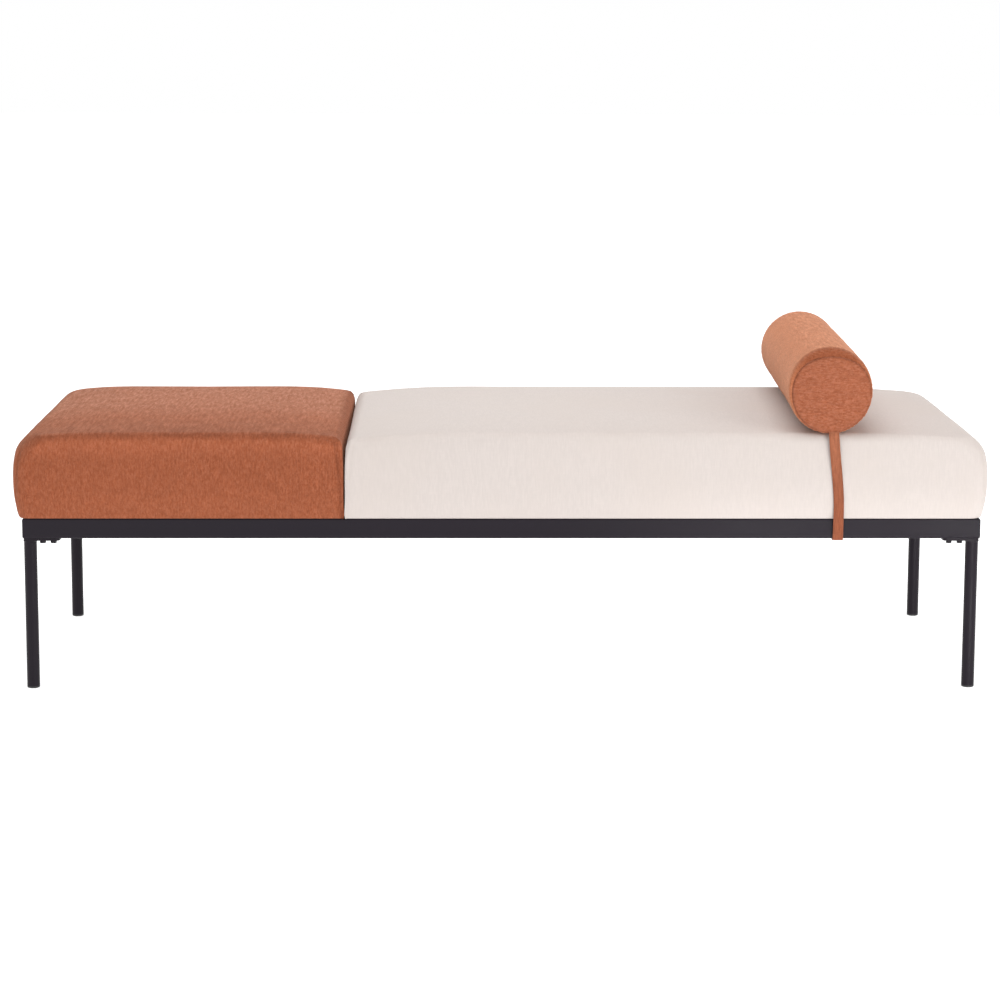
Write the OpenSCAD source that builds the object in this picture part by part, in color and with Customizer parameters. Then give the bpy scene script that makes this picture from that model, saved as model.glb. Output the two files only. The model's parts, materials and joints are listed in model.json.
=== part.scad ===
// Two-tone upholstered chaise longue: steel frame on four bolted legs, two seat pads, strapped bolster.
// Millimetres, +Z up, origin on the floor under the middle of the frame. -Y is the front, +X the bolster end.

/* [Frame] */
// Length of the welded frame, outside
frame_l = 1793; // [1600:1:2000]
// Depth of the welded frame, outside
frame_w = 660; // [560:10:760]
// Height of the frame tube
rail_h = 38; // [30:1:50]
// Width of the frame tube
rail_t = 25; // [20:1:30]
// Wall of the frame tube
rail_wall = 1.5; // [1.2:0.1:2.5]
// Outside corner radius of the frame tube
rail_r = 3.5; // [2.5:0.5:4]
// Height of the cross bars
bar_h = 20; // [16:1:25]

/* [Legs] */
// Floor to the underside of the frame
leg_h = 288; // [200:1:380]
// Outside diameter of the leg tube
leg_d = 24; // [20:0.5:28]
// Wall of the leg tube
leg_wall = 1.5; // [1.2:0.1:2.5]
// Leg axis to the end of the frame
leg_inset_x = 12.5; // [12.5:0.5:20]
// Leg axis to the front and back of the frame
leg_inset_y = 16; // [14:1:20]
// Side of the leg plate
plate_s = 68; // [66:1:80]
// Thickness of the leg plate
plate_t = 5; // [4:0.5:6]
// Thickness of the plastic foot under the tube
foot_t = 4; // [3:0.5:6]

/* [Seat pads] */
// Plane where the two pads meet
split_x = -296; // [-400:1:-200]
// How far the pads bulge past the front and back of the frame
pad_over = 13; // [8:1:18]
// How far the rust pad bulges past the end of the frame
rust_over = 17.5; // [8:0.5:20]
// How far the beige pad bulges past the end of the frame
beige_over = 14.5; // [8:0.5:20]
// How far the pad bottom draws in from its bulge
pad_tuck = 11; // [8:0.5:12]
// Height of the pads at the front edge, above the frame
pad_edge_h = 162.5; // [120:0.5:180]
// Height of the pads at the crown, above the frame
pad_crown_h = 169; // [140:1:200]
// Radius of the top edges, front and back
pad_r = 20; // [12:1:26]
// Thickness of the base boards
board_t = 15; // [12:1:18]
// Thickness of the cover fabric
cover_t = 1.2; // [0.8:0.1:2]
// Thickness of the wadding over the foam
wad_t = 7; // [4:0.5:10]

/* [Bolster] */
// Diameter of the bolster
bolster_d = 157; // [140:1:170]
// Length of the bolster between its end seams
bolster_l = 646; // [600:1:660]
// Middle of the bolster along the seat
bolster_x = 618.5; // [560:0.5:640]
// Turn of the bolster about the vertical, as it lies
bolster_yaw = 1.85; // [0:0.05:3]
// Width of the strap
strap_w = 19.5; // [16:0.5:24]
// Thickness of the strap
strap_t = 1.6; // [1.2:0.1:2]

/* [Hidden] */

eps = 0.05;
rail_z0 = leg_h;
rail_z1 = leg_h + rail_h;
leg_x = frame_l / 2 - leg_inset_x;
leg_y = frame_w / 2 - leg_inset_y;
plate_z0 = leg_h - plate_t;
rail_cy = frame_w / 2 - rail_t / 2;
rail_cx = frame_l / 2 - rail_t / 2;

// leg plate bolts, measured inwards from the leg axis
bolt_a = 24;
bolt_b = 44;
m6_d = 5.9;
m6_hole = 6.6;
head_af = 10;
head_h = 4;
washer_d = 12;
washer_t = 1.2;

// cross bars: middle and width
bars = [[split_x, 50], [100, 25], [500, 25]];
bolt_y = 160;
tab_l = 30;
tab_w = 40;
tab_t = 3;
tab_hole_x = frame_l / 2 - rail_t - 17;

// pads
pad_z0 = rail_z1;
board_z0 = pad_z0 + cover_t;
board_z1 = board_z0 + board_t;
pad_ze = pad_z0 + pad_edge_h;
pad_zt = pad_z0 + pad_crown_h;
pad_zc = pad_z0 + 72;
pad_hy = frame_w / 2 + pad_over;
gap_tuck = 3;
rust_x = [-(frame_l / 2 + rust_over), split_x - 0.2];
beige_x = [split_x + 0.2, frame_l / 2 + beige_over];
// each end of a pad: tuck at the base, droop of the top, length and power of the droop, radius of the top edge,
// radius of the corners in plan, lean of the upper side
rust_outer = [pad_tuck, 15.7, 200, 2, 33, 27, 5.6];
rust_inner = [gap_tuck, 14.3, 150, 1.45, 22, 24, 3];
beige_inner = [gap_tuck, 20.6, 238, 1.4, 21.6, 24, 3];
beige_outer = [pad_tuck, 17.2, 250, 1.16, 35.6, 33.5, 5.7];
wrap_w = 36;
staple_in = 31;
tnut_d = 8;
tnut_flange = 20;

// bolster
bolster_r = bolster_d / 2;
bolster_z = pad_zt + 0.3 + bolster_r;
bolster_y = -16;

// ---------- shared shapes ----------

module rounded_rect(w, h, r) {
    square([w - 2 * r, h], center = true);
    square([w, h - 2 * r], center = true);
    for (sx = [-1, 1], sy = [-1, 1])
        translate([sx * (w / 2 - r), sy * (h / 2 - r)]) circle(r = r, $fn = 32);
}

// tube of rectangular section along X, w across Y and h along Z, centred
module box_tube(l, w, h, wall, r) {
    rotate([90, 0, 90]) linear_extrude(height = l, center = true) difference() {
        rounded_rect(w, h, r);
        rounded_rect(w - 2 * wall, h - 2 * wall, r - wall);
    }
}

// M6 hex bolt, head down, seat of the head at z = 0
module hex_bolt(len) {
    translate([0, 0, -head_h]) cylinder(d = head_af / cos(30), h = head_h, $fn = 6);
    translate([0, 0, -eps]) cylinder(d = m6_d, h = len + eps, $fn = 32);
}

module ring(od, id, h) {
    difference() {
        cylinder(d = od, h = h, $fn = 48);
        translate([0, 0, -1]) cylinder(d = id, h = h + 2, $fn = 48);
    }
}

// the four bolt places of one leg plate, given the signs of its corner
function plate_bolts(sx, sy) = [
    [sx * (leg_x - bolt_a), sy * rail_cy],
    [sx * (leg_x - bolt_b), sy * rail_cy],
    [sx * rail_cx, sy * (leg_y - bolt_a)],
    [sx * rail_cx, sy * (leg_y - bolt_b)]];
corners = [[-1, -1], [1, -1], [-1, 1], [1, 1]];

// ---------- welded frame ----------

// mitred rail along X or Y, with the holes for its rivet nuts
module rail(l, along_x, at, side) {
    color("#3a373b") difference() {
        translate([along_x ? 0 : at, along_x ? at : 0, rail_z0 + rail_h / 2])
            rotate([0, 0, along_x ? 0 : 90]) box_tube(l, rail_t, rail_h, rail_wall, rail_r);
        // 45 degree mitres, 0.06 mm open for the weld
        for (s = [-1, 1])
            if (along_x)
                translate([s * frame_l / 2, side * frame_w / 2, rail_z0 + rail_h / 2])
                    rotate([0, 0, 45]) mitre_cut(s, side, true);
            else
                translate([side * frame_l / 2, s * frame_w / 2, rail_z0 + rail_h / 2])
                    rotate([0, 0, 45]) mitre_cut(side, s, false);
        for (c = corners, k = [0 : 1])
            if (along_x) translate([plate_bolts(c[0], c[1])[k][0], plate_bolts(c[0], c[1])[k][1], rail_z0 - 1])
                cylinder(d = 9.1, h = rail_wall + 2, $fn = 48);
            else translate([plate_bolts(c[0], c[1])[k + 2][0], plate_bolts(c[0], c[1])[k + 2][1], rail_z0 - 1])
                cylinder(d = 9.1, h = rail_wall + 2, $fn = 48);
    }
}

// block that takes the far side of a 45 degree mitre away; sx, sy are the signs of the corner
module mitre_cut(sx, sy, x_rail) {
    b = 2 * rail_t + 10;
    // in the frame turned by 45 degrees the diagonal of corners with sx*sy > 0 runs along local X, the others along local Y
    diag_x = sx * sy > 0;
    d = x_rail ? 1 : -1;
    if (diag_x) translate([-b, (x_rail ? -sx : sx) > 0 ? -0.03 : -b + 0.03, -rail_h]) cube([2 * b, b, 2 * rail_h]);
    else translate([(x_rail ? sx : -sx) > 0 ? -0.03 : -b + 0.03, -b, -rail_h]) cube([b, 2 * b, 2 * rail_h]);
}

module front_rail() rail(frame_l, true, -rail_cy, -1);
module rear_rail() rail(frame_l, true, rail_cy, 1);
module left_end_rail() rail(frame_w, false, -rail_cx, -1);
module right_end_rail() rail(frame_w, false, rail_cx, 1);

module cross_bar(i) {
    x = bars[i][0];
    w = bars[i][1];
    holes = i == 0 ? [x - 15, x + 15] : [x];
    color("#3a373b") difference() {
        translate([x, 0, rail_z1 - bar_h / 2]) rotate([0, 0, 90])
            box_tube(frame_w - 2 * rail_t - 0.1, w, bar_h, rail_wall, 3);
        for (hx = holes, s = [-1, 1])
            translate([hx, s * bolt_y, rail_z1 - bar_h - 1]) cylinder(d = 7, h = bar_h + 2, $fn = 48);
    }
}
module joint_cross_bar() cross_bar(0);
module middle_cross_bar() cross_bar(1);
module right_cross_bar() cross_bar(2);

// flat tabs welded inside the end rails, which hold the outer ends of the boards
module board_tabs() {
    color("#3a373b") for (sx = [-1, 1], sy = [-1, 1])
        difference() {
            translate([sx * (frame_l / 2 - rail_t - tab_l / 2 - 0.05), sy * bolt_y, rail_z1 - tab_t / 2 - 0.5])
                cube([tab_l, tab_w, tab_t], center = true);
            translate([sx * tab_hole_x, sy * bolt_y, rail_z1 - tab_t - 2]) cylinder(d = 7, h = tab_t + 4, $fn = 48);
        }
}

// ---------- legs ----------

module leg(sx, sy) {
    color("#3a373b") translate([sx * leg_x, sy * leg_y, foot_t])
        ring(leg_d, leg_d - 2 * leg_wall, plate_z0 - foot_t);
}
module leg_front_left() leg(-1, -1);
module leg_front_right() leg(1, -1);
module leg_rear_left() leg(-1, 1);
module leg_rear_right() leg(1, 1);

// plate outline for the corner at +X +Y, with the leg axis at the origin and the plate running inwards to -X -Y
module plate_outline() {
    o = leg_d / 2;
    i = plate_s - o;
    r = 8;
    difference() {
        union() {
            translate([-i, -i + r]) square([plate_s, plate_s - 2 * r]);
            translate([-i + r, -i]) square([plate_s - 2 * r, plate_s]);
            for (c = [[-i + r, o - r], [o - r, o - r], [o - r, -i + r], [-i + r, -i + r]])
                translate(c) circle(r = r, $fn = 48);
        }
        // the inner corner, which lies inside the frame, is cut off square to the diagonal
        rotate(45) translate([-i * 1.414 - 40, -60]) square([40 + 28, 120]);
    }
}
module leg_plate(sx, sy) {
    color("#343235") difference() {
        translate([sx * leg_x, sy * leg_y, plate_z0]) mirror([sx < 0 ? 1 : 0, 0, 0]) mirror([0, sy < 0 ? 1 : 0, 0])
            linear_extrude(height = plate_t) plate_outline();
        for (p = plate_bolts(sx, sy)) translate([p[0], p[1], plate_z0 - 1]) cylinder(d = m6_hole, h = plate_t + 2, $fn = 48);
    }
}
module leg_plate_front_left() leg_plate(-1, -1);
module leg_plate_front_right() leg_plate(1, -1);
module leg_plate_rear_left() leg_plate(-1, 1);
module leg_plate_rear_right() leg_plate(1, 1);

// fillet weld round the top of each leg tube, where there is plate beside it
module leg_weld_beads() {
    edge_x = leg_x + leg_d / 2 - 0.1;
    edge_y = leg_y + leg_d / 2 - 0.1;
    color("#2f2d30") for (c = corners) intersection() {
        translate([c[0] * leg_x, c[1] * leg_y, plate_z0])
            rotate_extrude($fn = 48) polygon([[leg_d / 2, 0], [leg_d / 2 + 2.6, 0], [leg_d / 2 + 1.5, -1.7], [leg_d / 2, -3]]);
        translate([-edge_x, -edge_y, plate_z0 - 5]) cube([2 * edge_x, 2 * edge_y, 6]);
    }
}

module leg_bolts() {
    color("#2b2a2d") for (c = corners, p = plate_bolts(c[0], c[1]))
        translate([p[0], p[1], plate_z0 - washer_t]) rotate([0, 0, 13]) hex_bolt(16);
}
module leg_washers() {
    color("#2b2a2d") for (c = corners, p = plate_bolts(c[0], c[1]))
        translate([p[0], p[1], plate_z0 - washer_t]) ring(washer_d, 6.2, washer_t);
}
// threaded sleeves set in the underside of the rails
module rivet_nuts() {
    color("#b9b7ae") for (c = corners, p = plate_bolts(c[0], c[1])) translate([p[0], p[1], rail_z0]) {
        ring(9, 6, 14);
        translate([0, 0, rail_wall + eps]) ring(11.5, 8.9, 2.5);
    }
}

// plastic plug pressed into the foot of each leg tube
module foot_plugs() {
    bore = leg_d - 2 * leg_wall;
    color("#1f1e20") for (c = corners) translate([c[0] * leg_x, c[1] * leg_y, 0]) {
        rotate_extrude($fn = 64) polygon([[0, 0], [leg_d / 2 - 2, 0], [leg_d / 2 - 0.7, 0.5], [leg_d / 2, 1.8],
            [leg_d / 2, foot_t], [bore / 2 - 0.1, foot_t], [bore / 2 - 0.1, foot_t + 6], [bore / 2 - 0.5, foot_t + 6.5],
            [bore / 2 - 0.1, foot_t + 7], [bore / 2 - 0.1, foot_t + 15], [bore / 2 - 1.2, foot_t + 18], [bore / 2 - 3, foot_t + 18],
            [bore / 2 - 3, foot_t + 2], [0, foot_t + 2]]);
    }
}

// ---------- fixings of the boards ----------

module tab_bolts() {
    color("#b9b7ae") for (sx = [-1, 1], sy = [-1, 1])
        translate([sx * tab_hole_x, sy * bolt_y, rail_z1 - tab_t - 0.5 - washer_t]) rotate([0, 0, 20]) hex_bolt(16);
}
function bar_bolt_at() = concat([for (dx = [-15, 15], s = [-1, 1]) [split_x + dx, s * bolt_y]],
    [for (i = [1, 2], s = [-1, 1]) [bars[i][0], s * bolt_y]]);
module bar_bolts() {
    color("#b9b7ae") for (p = bar_bolt_at())
        translate([p[0], p[1], rail_z1 - bar_h - washer_t]) rotate([0, 0, 8]) hex_bolt(35);
}
module board_washers() {
    color("#b9b7ae") {
        for (p = bar_bolt_at()) translate([p[0], p[1], rail_z1 - bar_h - washer_t]) ring(washer_d + 1, 6.2, washer_t);
        for (sx = [-1, 1], sy = [-1, 1])
            translate([sx * tab_hole_x, sy * bolt_y, rail_z1 - tab_t - 0.5 - washer_t]) ring(washer_d + 1, 6.2, washer_t);
    }
}

// ---------- seat pads ----------

// inset of a pad's side at height z, for the tuck b at its base and the lean h of its upper part
function side_in(z, b, h) = z < pad_zc ? b * pow((pad_zc - z) / (pad_zc - pad_z0), 2.4)
    : h * pow((z - pad_zc) / (pad_ze - 20 - pad_zc), 2);
// share of the full side height at an inset i from the edge
function share(i, d, t, ze) = (pad_zt - t - d[1] * pow(1 - max(0, min(1, (i - 10) / d[2])), d[3]) - pad_z0) / (ze - pad_z0);
// one half of a pad section as [inset, height], from the base up the side and over the top edge to the middle.
// w is the half width, d the end it belongs to, t how far inside the cover it lies
function half_section(w, d, t) =
    let (r = d[4] - t * 0.6, ze = pad_ze - t, z0 = pad_z0 + (t > 0 ? t : 0), lean = d[6],
         low = [z0, pad_z0 + 8, pad_z0 + 18, pad_z0 + 32, pad_z0 + 50, pad_zc, pad_zc + 15, pad_zc + 30])
    concat(
        [for (z = low) [t + side_in(z, d[0], lean), z]],
        [for (a = [0 : 15 : 90]) let (i = r * (1 - cos(a)), z = pad_z0 + (ze - r + r * sin(a) - pad_z0) * share(i + lean, d, t, ze))
            if (z > pad_zc + 32) [t + i + lean * min(1, pow((ze - r - pad_zc) / (pad_ze - 20 - pad_zc), 2)), z]],
        [for (k = [1 : 9]) let (i = r + lean + (w - t - r - lean) * pow(k / 10, 1.5)) [t + i, pad_z0 + (ze - pad_z0) * share(i, d, t, ze)]]);
function mirrored(p) = [for (i = [len(p) - 1 : -1 : 0]) [-p[i][0], p[i][1]]];
function moved(p, x) = [for (q = p) [q[0] + x, q[1]]];

// section across the depth: the crown falls 6.5 mm to the front and back edges
module section_y(t) {
    h = half_section(pad_hy, [pad_tuck, pad_zt - pad_ze, pad_hy - 10, 2.6, pad_r, 0, 3], t);
    polygon(concat(moved(h, -pad_hy), [[0, pad_zt - t]], moved(mirrored(h), pad_hy)));
}
// section along the length, drooping towards each end
module section_x(x, e0, e1, t) {
    w = (x[1] - x[0]) / 2;
    polygon(concat(moved(half_section(w, e0, t), x[0]), [[x[0] + w, pad_zt - t]], moved(mirrored(half_section(w, e1, t)), x[1])));
}
// outline in plan
module section_xy(x, e0, e1, t) {
    hull() for (e = [[x[0] + t, 1, e0[5] - t], [x[1] - t, -1, e1[5] - t]], s = [-1, 1])
        translate([e[0] + e[1] * e[2], s * (pad_hy - t - e[2])]) circle(r = e[2], $fn = 64);
}

module pad_block(x, e0, e1, t) {
    intersection() {
        rotate([90, 0, 90]) translate([0, 0, x[0] - 1]) linear_extrude(height = x[1] - x[0] + 2) section_y(t);
        rotate([90, 0, 0]) linear_extrude(height = 2 * pad_hy + 2, center = true) section_x(x, e0, e1, t);
        translate([0, 0, pad_z0 - 1]) linear_extrude(height = pad_crown_h + 2) section_xy(x, e0, e1, t);
    }
}

module above(x, z) translate([x[0] - 5, -pad_hy - 5, z]) cube([x[1] - x[0] + 10, 2 * pad_hy + 10, 300]);

module pad_cover(x, e0, e1, nuts) {
    b0 = e0[0];
    b1 = e1[0];
    difference() {
        pad_block(x, e0, e1, 0);
        pad_block(x, e0, e1, cover_t);
        for (p = nuts) translate([p[0], p[1], pad_z0 - 2]) cylinder(d = 8, h = 4, $fn = 48);
        // the fabric is folded under the board and leaves its middle open
        translate([x[0] + b0 + wrap_w, -pad_hy + pad_tuck + wrap_w, pad_z0 - 1])
            cube([x[1] - x[0] - b0 - b1 - 2 * wrap_w, 2 * (pad_hy - pad_tuck - wrap_w), 4]);
    }
}
module pad_wadding(x, e0, e1) {
    difference() {
        intersection() { pad_block(x, e0, e1, cover_t + 0.3); above(x, board_z1 + 0.2); }
        pad_block(x, e0, e1, cover_t + 0.3 + wad_t);
    }
}
module pad_foam(x, e0, e1) {
    intersection() { pad_block(x, e0, e1, cover_t + 0.6 + wad_t); above(x, board_z1 + 0.2); }
}
module pad_board(x, b0, b1, nuts) {
    i = cover_t + 0.5;
    difference() {
        translate([(x[0] + b0 + x[1] - b1) / 2, 0, board_z0])
            linear_extrude(height = board_t) rounded_rect(x[1] - x[0] - b0 - b1 - 2 * i, 2 * (pad_hy - pad_tuck - i), 18);
        for (p = nuts) {
            translate([p[0], p[1], board_z0 - 1]) cylinder(d = tnut_d + 0.1, h = board_t + 2, $fn = 48);
            translate([p[0], p[1], board_z1 - 1.6]) cylinder(d = tnut_flange + 0.4, h = 3, $fn = 48);
        }
    }
}
module t_nuts(nuts) {
    for (p = nuts) {
        translate([p[0], p[1], board_z1 - 11.5]) ring(tnut_d, 6, 10);
        translate([p[0], p[1], board_z1 - 1.55]) ring(tnut_flange, 6, 1.5);
    }
}
module pad_dust_cover(x, b0, b1, nuts) {
    difference() {
        translate([x[0] + b0 + wrap_w + 0.2, -pad_hy + pad_tuck + wrap_w + 0.2, board_z0 - 0.8])
            cube([x[1] - x[0] - b0 - b1 - 2 * wrap_w - 0.4, 2 * (pad_hy - pad_tuck - wrap_w) - 0.4, 0.8]);
        for (p = nuts) translate([p[0], p[1], board_z0 - 2]) cylinder(d = 8, h = 4, $fn = 48);
    }
}
// a wire staple under the fold of the fabric, crown along X
module staple() {
    translate([-5, -0.35, -0.6]) cube([10, 0.7, 0.6]);
    for (s = [-1, 1]) translate([s * 4.65 - 0.35, -0.35, -0.1]) cube([0.7, 0.7, 8]);
}
module pad_staples(x, b0, b1) {
    x0 = x[0] + b0 + staple_in;
    x1 = x[1] - b1 - staple_in;
    yy = pad_hy - pad_tuck - staple_in;
    nx = floor((x1 - x0 - 40) / 58);
    ny = 9;
    for (i = [0 : nx], s = [-1, 1]) {
        px = x0 + 20 + i * (x1 - x0 - 40) / nx;
        if (min([for (b = bars) abs(px - b[0]) - b[1] / 2]) > 8)
            translate([px, s * yy, pad_z0]) staple();
    }
    for (i = [0 : ny], px = [x0, x1]) {
        py = -yy + 28 + i * (2 * yy - 56) / ny;
        if (abs(abs(py) - bolt_y) > tab_w / 2 + 8 || abs(px) < frame_l / 2 - 100)
            translate([px, py, pad_z0]) rotate([0, 0, 90]) staple();
    }
}

rust_nuts = concat([for (s = [-1, 1]) [-tab_hole_x, s * bolt_y]], [for (s = [-1, 1]) [split_x - 15, s * bolt_y]]);
beige_nuts = concat([for (s = [-1, 1]) [tab_hole_x, s * bolt_y]], [for (s = [-1, 1]) [split_x + 15, s * bolt_y]],
    [for (i = [1, 2], s = [-1, 1]) [bars[i][0], s * bolt_y]]);

module rust_board() { color("#c9a878") pad_board(rust_x, pad_tuck, gap_tuck, rust_nuts); }
module rust_t_nuts() { color("#b9b7ae") t_nuts(rust_nuts); }
module rust_foam() { color("#efe6c4") pad_foam(rust_x, rust_outer, rust_inner); }
module rust_wadding() { color("#f4f3ef") pad_wadding(rust_x, rust_outer, rust_inner); }
module rust_cover() { color("#a96548") pad_cover(rust_x, rust_outer, rust_inner, rust_nuts); }
module rust_dust_cover() { color("#262527") pad_dust_cover(rust_x, pad_tuck, gap_tuck, rust_nuts); }
module rust_staples() { color("#b9b7ae") pad_staples(rust_x, pad_tuck, gap_tuck); }

module beige_board() { color("#c9a878") pad_board(beige_x, gap_tuck, pad_tuck, beige_nuts); }
module beige_t_nuts() { color("#b9b7ae") t_nuts(beige_nuts); }
module beige_foam() { color("#efe6c4") pad_foam(beige_x, beige_inner, beige_outer); }
module beige_wadding() { color("#f4f3ef") pad_wadding(beige_x, beige_inner, beige_outer); }
module beige_cover() { color("#e6ddd6") pad_cover(beige_x, beige_inner, beige_outer, beige_nuts); }
module beige_dust_cover() { color("#262527") pad_dust_cover(beige_x, gap_tuck, pad_tuck, beige_nuts); }
module beige_staples() { color("#b9b7ae") pad_staples(beige_x, gap_tuck, pad_tuck); }

// ---------- bolster ----------

// places a shape whose axis is +Z, middle at the origin, along the bolster; local +Z then points to the rear
module on_bolster() translate([bolster_x, bolster_y, bolster_z]) rotate([0, 0, -bolster_yaw]) rotate([-90, 0, 0]) children();

module tube_shell(r, t, l) {
    difference() {
        cylinder(r = r, h = l, center = true, $fn = 96);
        cylinder(r = r - t, h = l + 2, center = true, $fn = 96);
    }
}
module bolster_tube() { color("#c98a68") on_bolster() tube_shell(bolster_r, cover_t, bolster_l); }
module bolster_wadding() { color("#f4f3ef") on_bolster() tube_shell(bolster_r - cover_t - 0.2, wad_t, bolster_l - 8); }
module bolster_core() { color("#efe6c4") on_bolster() cylinder(r = bolster_r - cover_t - wad_t - 0.4, h = bolster_l - 8, center = true, $fn = 96); }
// round end panel, a little crowned, sewn to the tube round its edge
module end_panel() {
    ri = bolster_r - cover_t - 0.2;
    rotate_extrude($fn = 96) polygon(concat(
        [for (k = [0 : 6]) let (u = k / 6) [ri * u, 3.2 * (1 - pow(u, 3)) + 0.2]],
        [[ri, -1.5], [ri - 6, -1.5]],
        [for (k = [6 : -1 : 0]) let (u = k / 6) [(ri - 7) * u, 3.2 * (1 - pow(u, 3)) - 1.2]]));
}
module bolster_front_end() { color("#bf7353") on_bolster() translate([0, 0, -bolster_l / 2]) mirror([0, 0, 1]) end_panel(); }
module bolster_rear_end() { color("#bf7353") on_bolster() translate([0, 0, bolster_l / 2]) end_panel(); }

// zip along the lower right side of the tube; in the turned frame -Y is up
module bolster_zip() {
    color("#8d5238") on_bolster() rotate([0, 0, 35]) translate([bolster_r + 0.45, 0, 0]) {
        cube([0.8, 16, 470], center = true);
        translate([0.7, 0, 0]) cube([1, 5, 466], center = true);
    }
}
module bolster_zip_slider() {
    color("#6f6a66") on_bolster() rotate([0, 0, 35]) translate([bolster_r + 3.3, 0, 218]) {
        cube([2.6, 8, 11], center = true);
        translate([1.9, 0, 14]) cube([1.2, 5, 24], center = true);
    }
}

// ---------- strap ----------

// points of a smooth line through p (Catmull-Rom), n steps for each span
function cr(p, i, u) =
    let (a = p[max(i - 1, 0)], b = p[i], c = p[i + 1], d = p[min(i + 2, len(p) - 1)])
    0.5 * (2 * b + (c - a) * u + (2 * a - 5 * b + 4 * c - d) * u * u + (3 * b - a - 3 * c + d) * u * u * u);
function smooth(p, n) = concat([for (i = [0 : len(p) - 2], k = [0 : n - 1]) cr(p, i, k / n)], [p[len(p) - 1]]);
function unit(v) = v / norm(v);

// flat band along route, wide across X
module band(route, n, w, t) {
    p = smooth(route, n);
    m = len(p) - 1;
    rings = [for (i = [0 : m])
        let (tan = unit(p[min(i + 1, m)] - p[max(i - 1, 0)]), x = unit([1, 0, 0] - tan * tan[0]), nrm = cross(tan, x))
        for (c = [[-1, -1], [1, -1], [1, 1], [-1, 1]]) p[i] + x * c[0] * w / 2 + nrm * c[1] * t / 2];
    polyhedron(points = rings, faces = concat(
        [[3, 2, 1, 0]],
        [for (i = [0 : m - 1], k = [0 : 3]) let (a = 4 * i + k, b = 4 * i + (k + 1) % 4) [a, b, b + 4, a + 4]],
        [[4 * m, 4 * m + 1, 4 * m + 2, 4 * m + 3]]), convexity = 6);
}

fy = -(pad_hy + 0.5 + strap_t / 2); // strap middle in front of the pad
uz = rail_z0 - 2.6; // strap middle under the rails
zb = pad_zt; // crown
front_route = [[616, -336, zb + 3.5], [616, -340.5, zb - 4], [616.6, fy, zb - 17], [618.6, fy - 0.6, zb - 42], [621.4, fy - 0.6, zb - 68],
    [624.4, fy - 0.2, zb - 96], [626.8, fy + 0.6, pad_z0 + 42], [627.8, fy + 5.2, pad_z0 + 12], [628, fy + 10, rail_z0 + 12], [628, -332.6, rail_z0 + 2],
    [628, -330.6, uz + 0.6], [628, -326, uz], [628.4, -306, uz], [630, -180, uz - 1], [631.6, -60, uz - 2], [632.6, 62, uz - 2]];
rear_route = [[629, 310.5, zb + 3.5], [629.4, 322, zb - 3], [630, 338, zb - 12], [631, -fy, zb - 32], [632, -fy, zb - 63],
    [633.4, -fy, zb - 98], [634.8, -fy - 0.6, pad_z0 + 42], [635.6, -fy - 5.2, pad_z0 + 12], [636, -fy - 10, rail_z0 + 12], [636, 332.6, rail_z0 + 2],
    [636, 330.6, uz + 0.6], [636, 326, uz], [635.8, 306, uz - 0.2], [634.6, 180, uz - 3.4], [633, 66, uz - 5.8], [632.4, -62, uz - 5.8]];
module strap_front() { color("#b4694b") band(front_route, 3, strap_w, strap_t); }
module strap_rear() { color("#b4694b") band(rear_route, 3, strap_w, strap_t); }
// hook and loop closure where the two halves of the strap overlap
module strap_loop_patch() { color("#2a292b") translate([632, 0, uz - 2 - strap_t / 2 - 0.6]) cube([18, 100, 1], center = true); }
module strap_hook_patch() { color("#2a292b") translate([632, 0, uz - 2 - strap_t / 2 - 1.7]) cube([18, 100, 1], center = true); }

front_rail();
rear_rail();
left_end_rail();
right_end_rail();
joint_cross_bar();
middle_cross_bar();
right_cross_bar();
board_tabs();
leg_front_left();
leg_front_right();
leg_rear_left();
leg_rear_right();
leg_plate_front_left();
leg_plate_front_right();
leg_plate_rear_left();
leg_plate_rear_right();
leg_weld_beads();
leg_bolts();
leg_washers();
rivet_nuts();
foot_plugs();
tab_bolts();
bar_bolts();
board_washers();
rust_board();
rust_t_nuts();
rust_foam();
rust_wadding();
rust_cover();
rust_dust_cover();
rust_staples();
beige_board();
beige_t_nuts();
beige_foam();
beige_wadding();
beige_cover();
beige_dust_cover();
beige_staples();
bolster_core();
bolster_wadding();
bolster_tube();
bolster_front_end();
bolster_rear_end();
bolster_zip();
bolster_zip_slider();
strap_front();
strap_rear();
strap_loop_patch();
strap_hook_patch();
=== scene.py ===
import json
import math

import bpy
import numpy as np
from mathutils import Matrix, Vector


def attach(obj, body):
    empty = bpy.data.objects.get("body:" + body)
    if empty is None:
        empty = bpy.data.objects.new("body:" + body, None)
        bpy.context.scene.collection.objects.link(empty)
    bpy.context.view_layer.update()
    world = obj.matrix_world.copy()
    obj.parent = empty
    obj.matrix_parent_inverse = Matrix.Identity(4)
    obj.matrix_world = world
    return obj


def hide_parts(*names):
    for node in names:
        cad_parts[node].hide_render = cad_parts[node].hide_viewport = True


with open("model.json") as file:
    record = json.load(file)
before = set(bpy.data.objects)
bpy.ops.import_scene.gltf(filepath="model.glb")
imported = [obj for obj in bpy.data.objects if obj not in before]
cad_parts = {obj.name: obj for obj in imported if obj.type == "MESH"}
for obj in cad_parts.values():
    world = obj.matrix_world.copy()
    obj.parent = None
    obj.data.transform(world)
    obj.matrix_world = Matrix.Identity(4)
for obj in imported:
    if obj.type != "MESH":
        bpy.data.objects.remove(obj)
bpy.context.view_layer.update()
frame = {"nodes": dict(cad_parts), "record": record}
NODES = frame["nodes"]
scene = bpy.context.scene
COLL = scene.collection


# ---------------------------------------------------------------- camera

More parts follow.
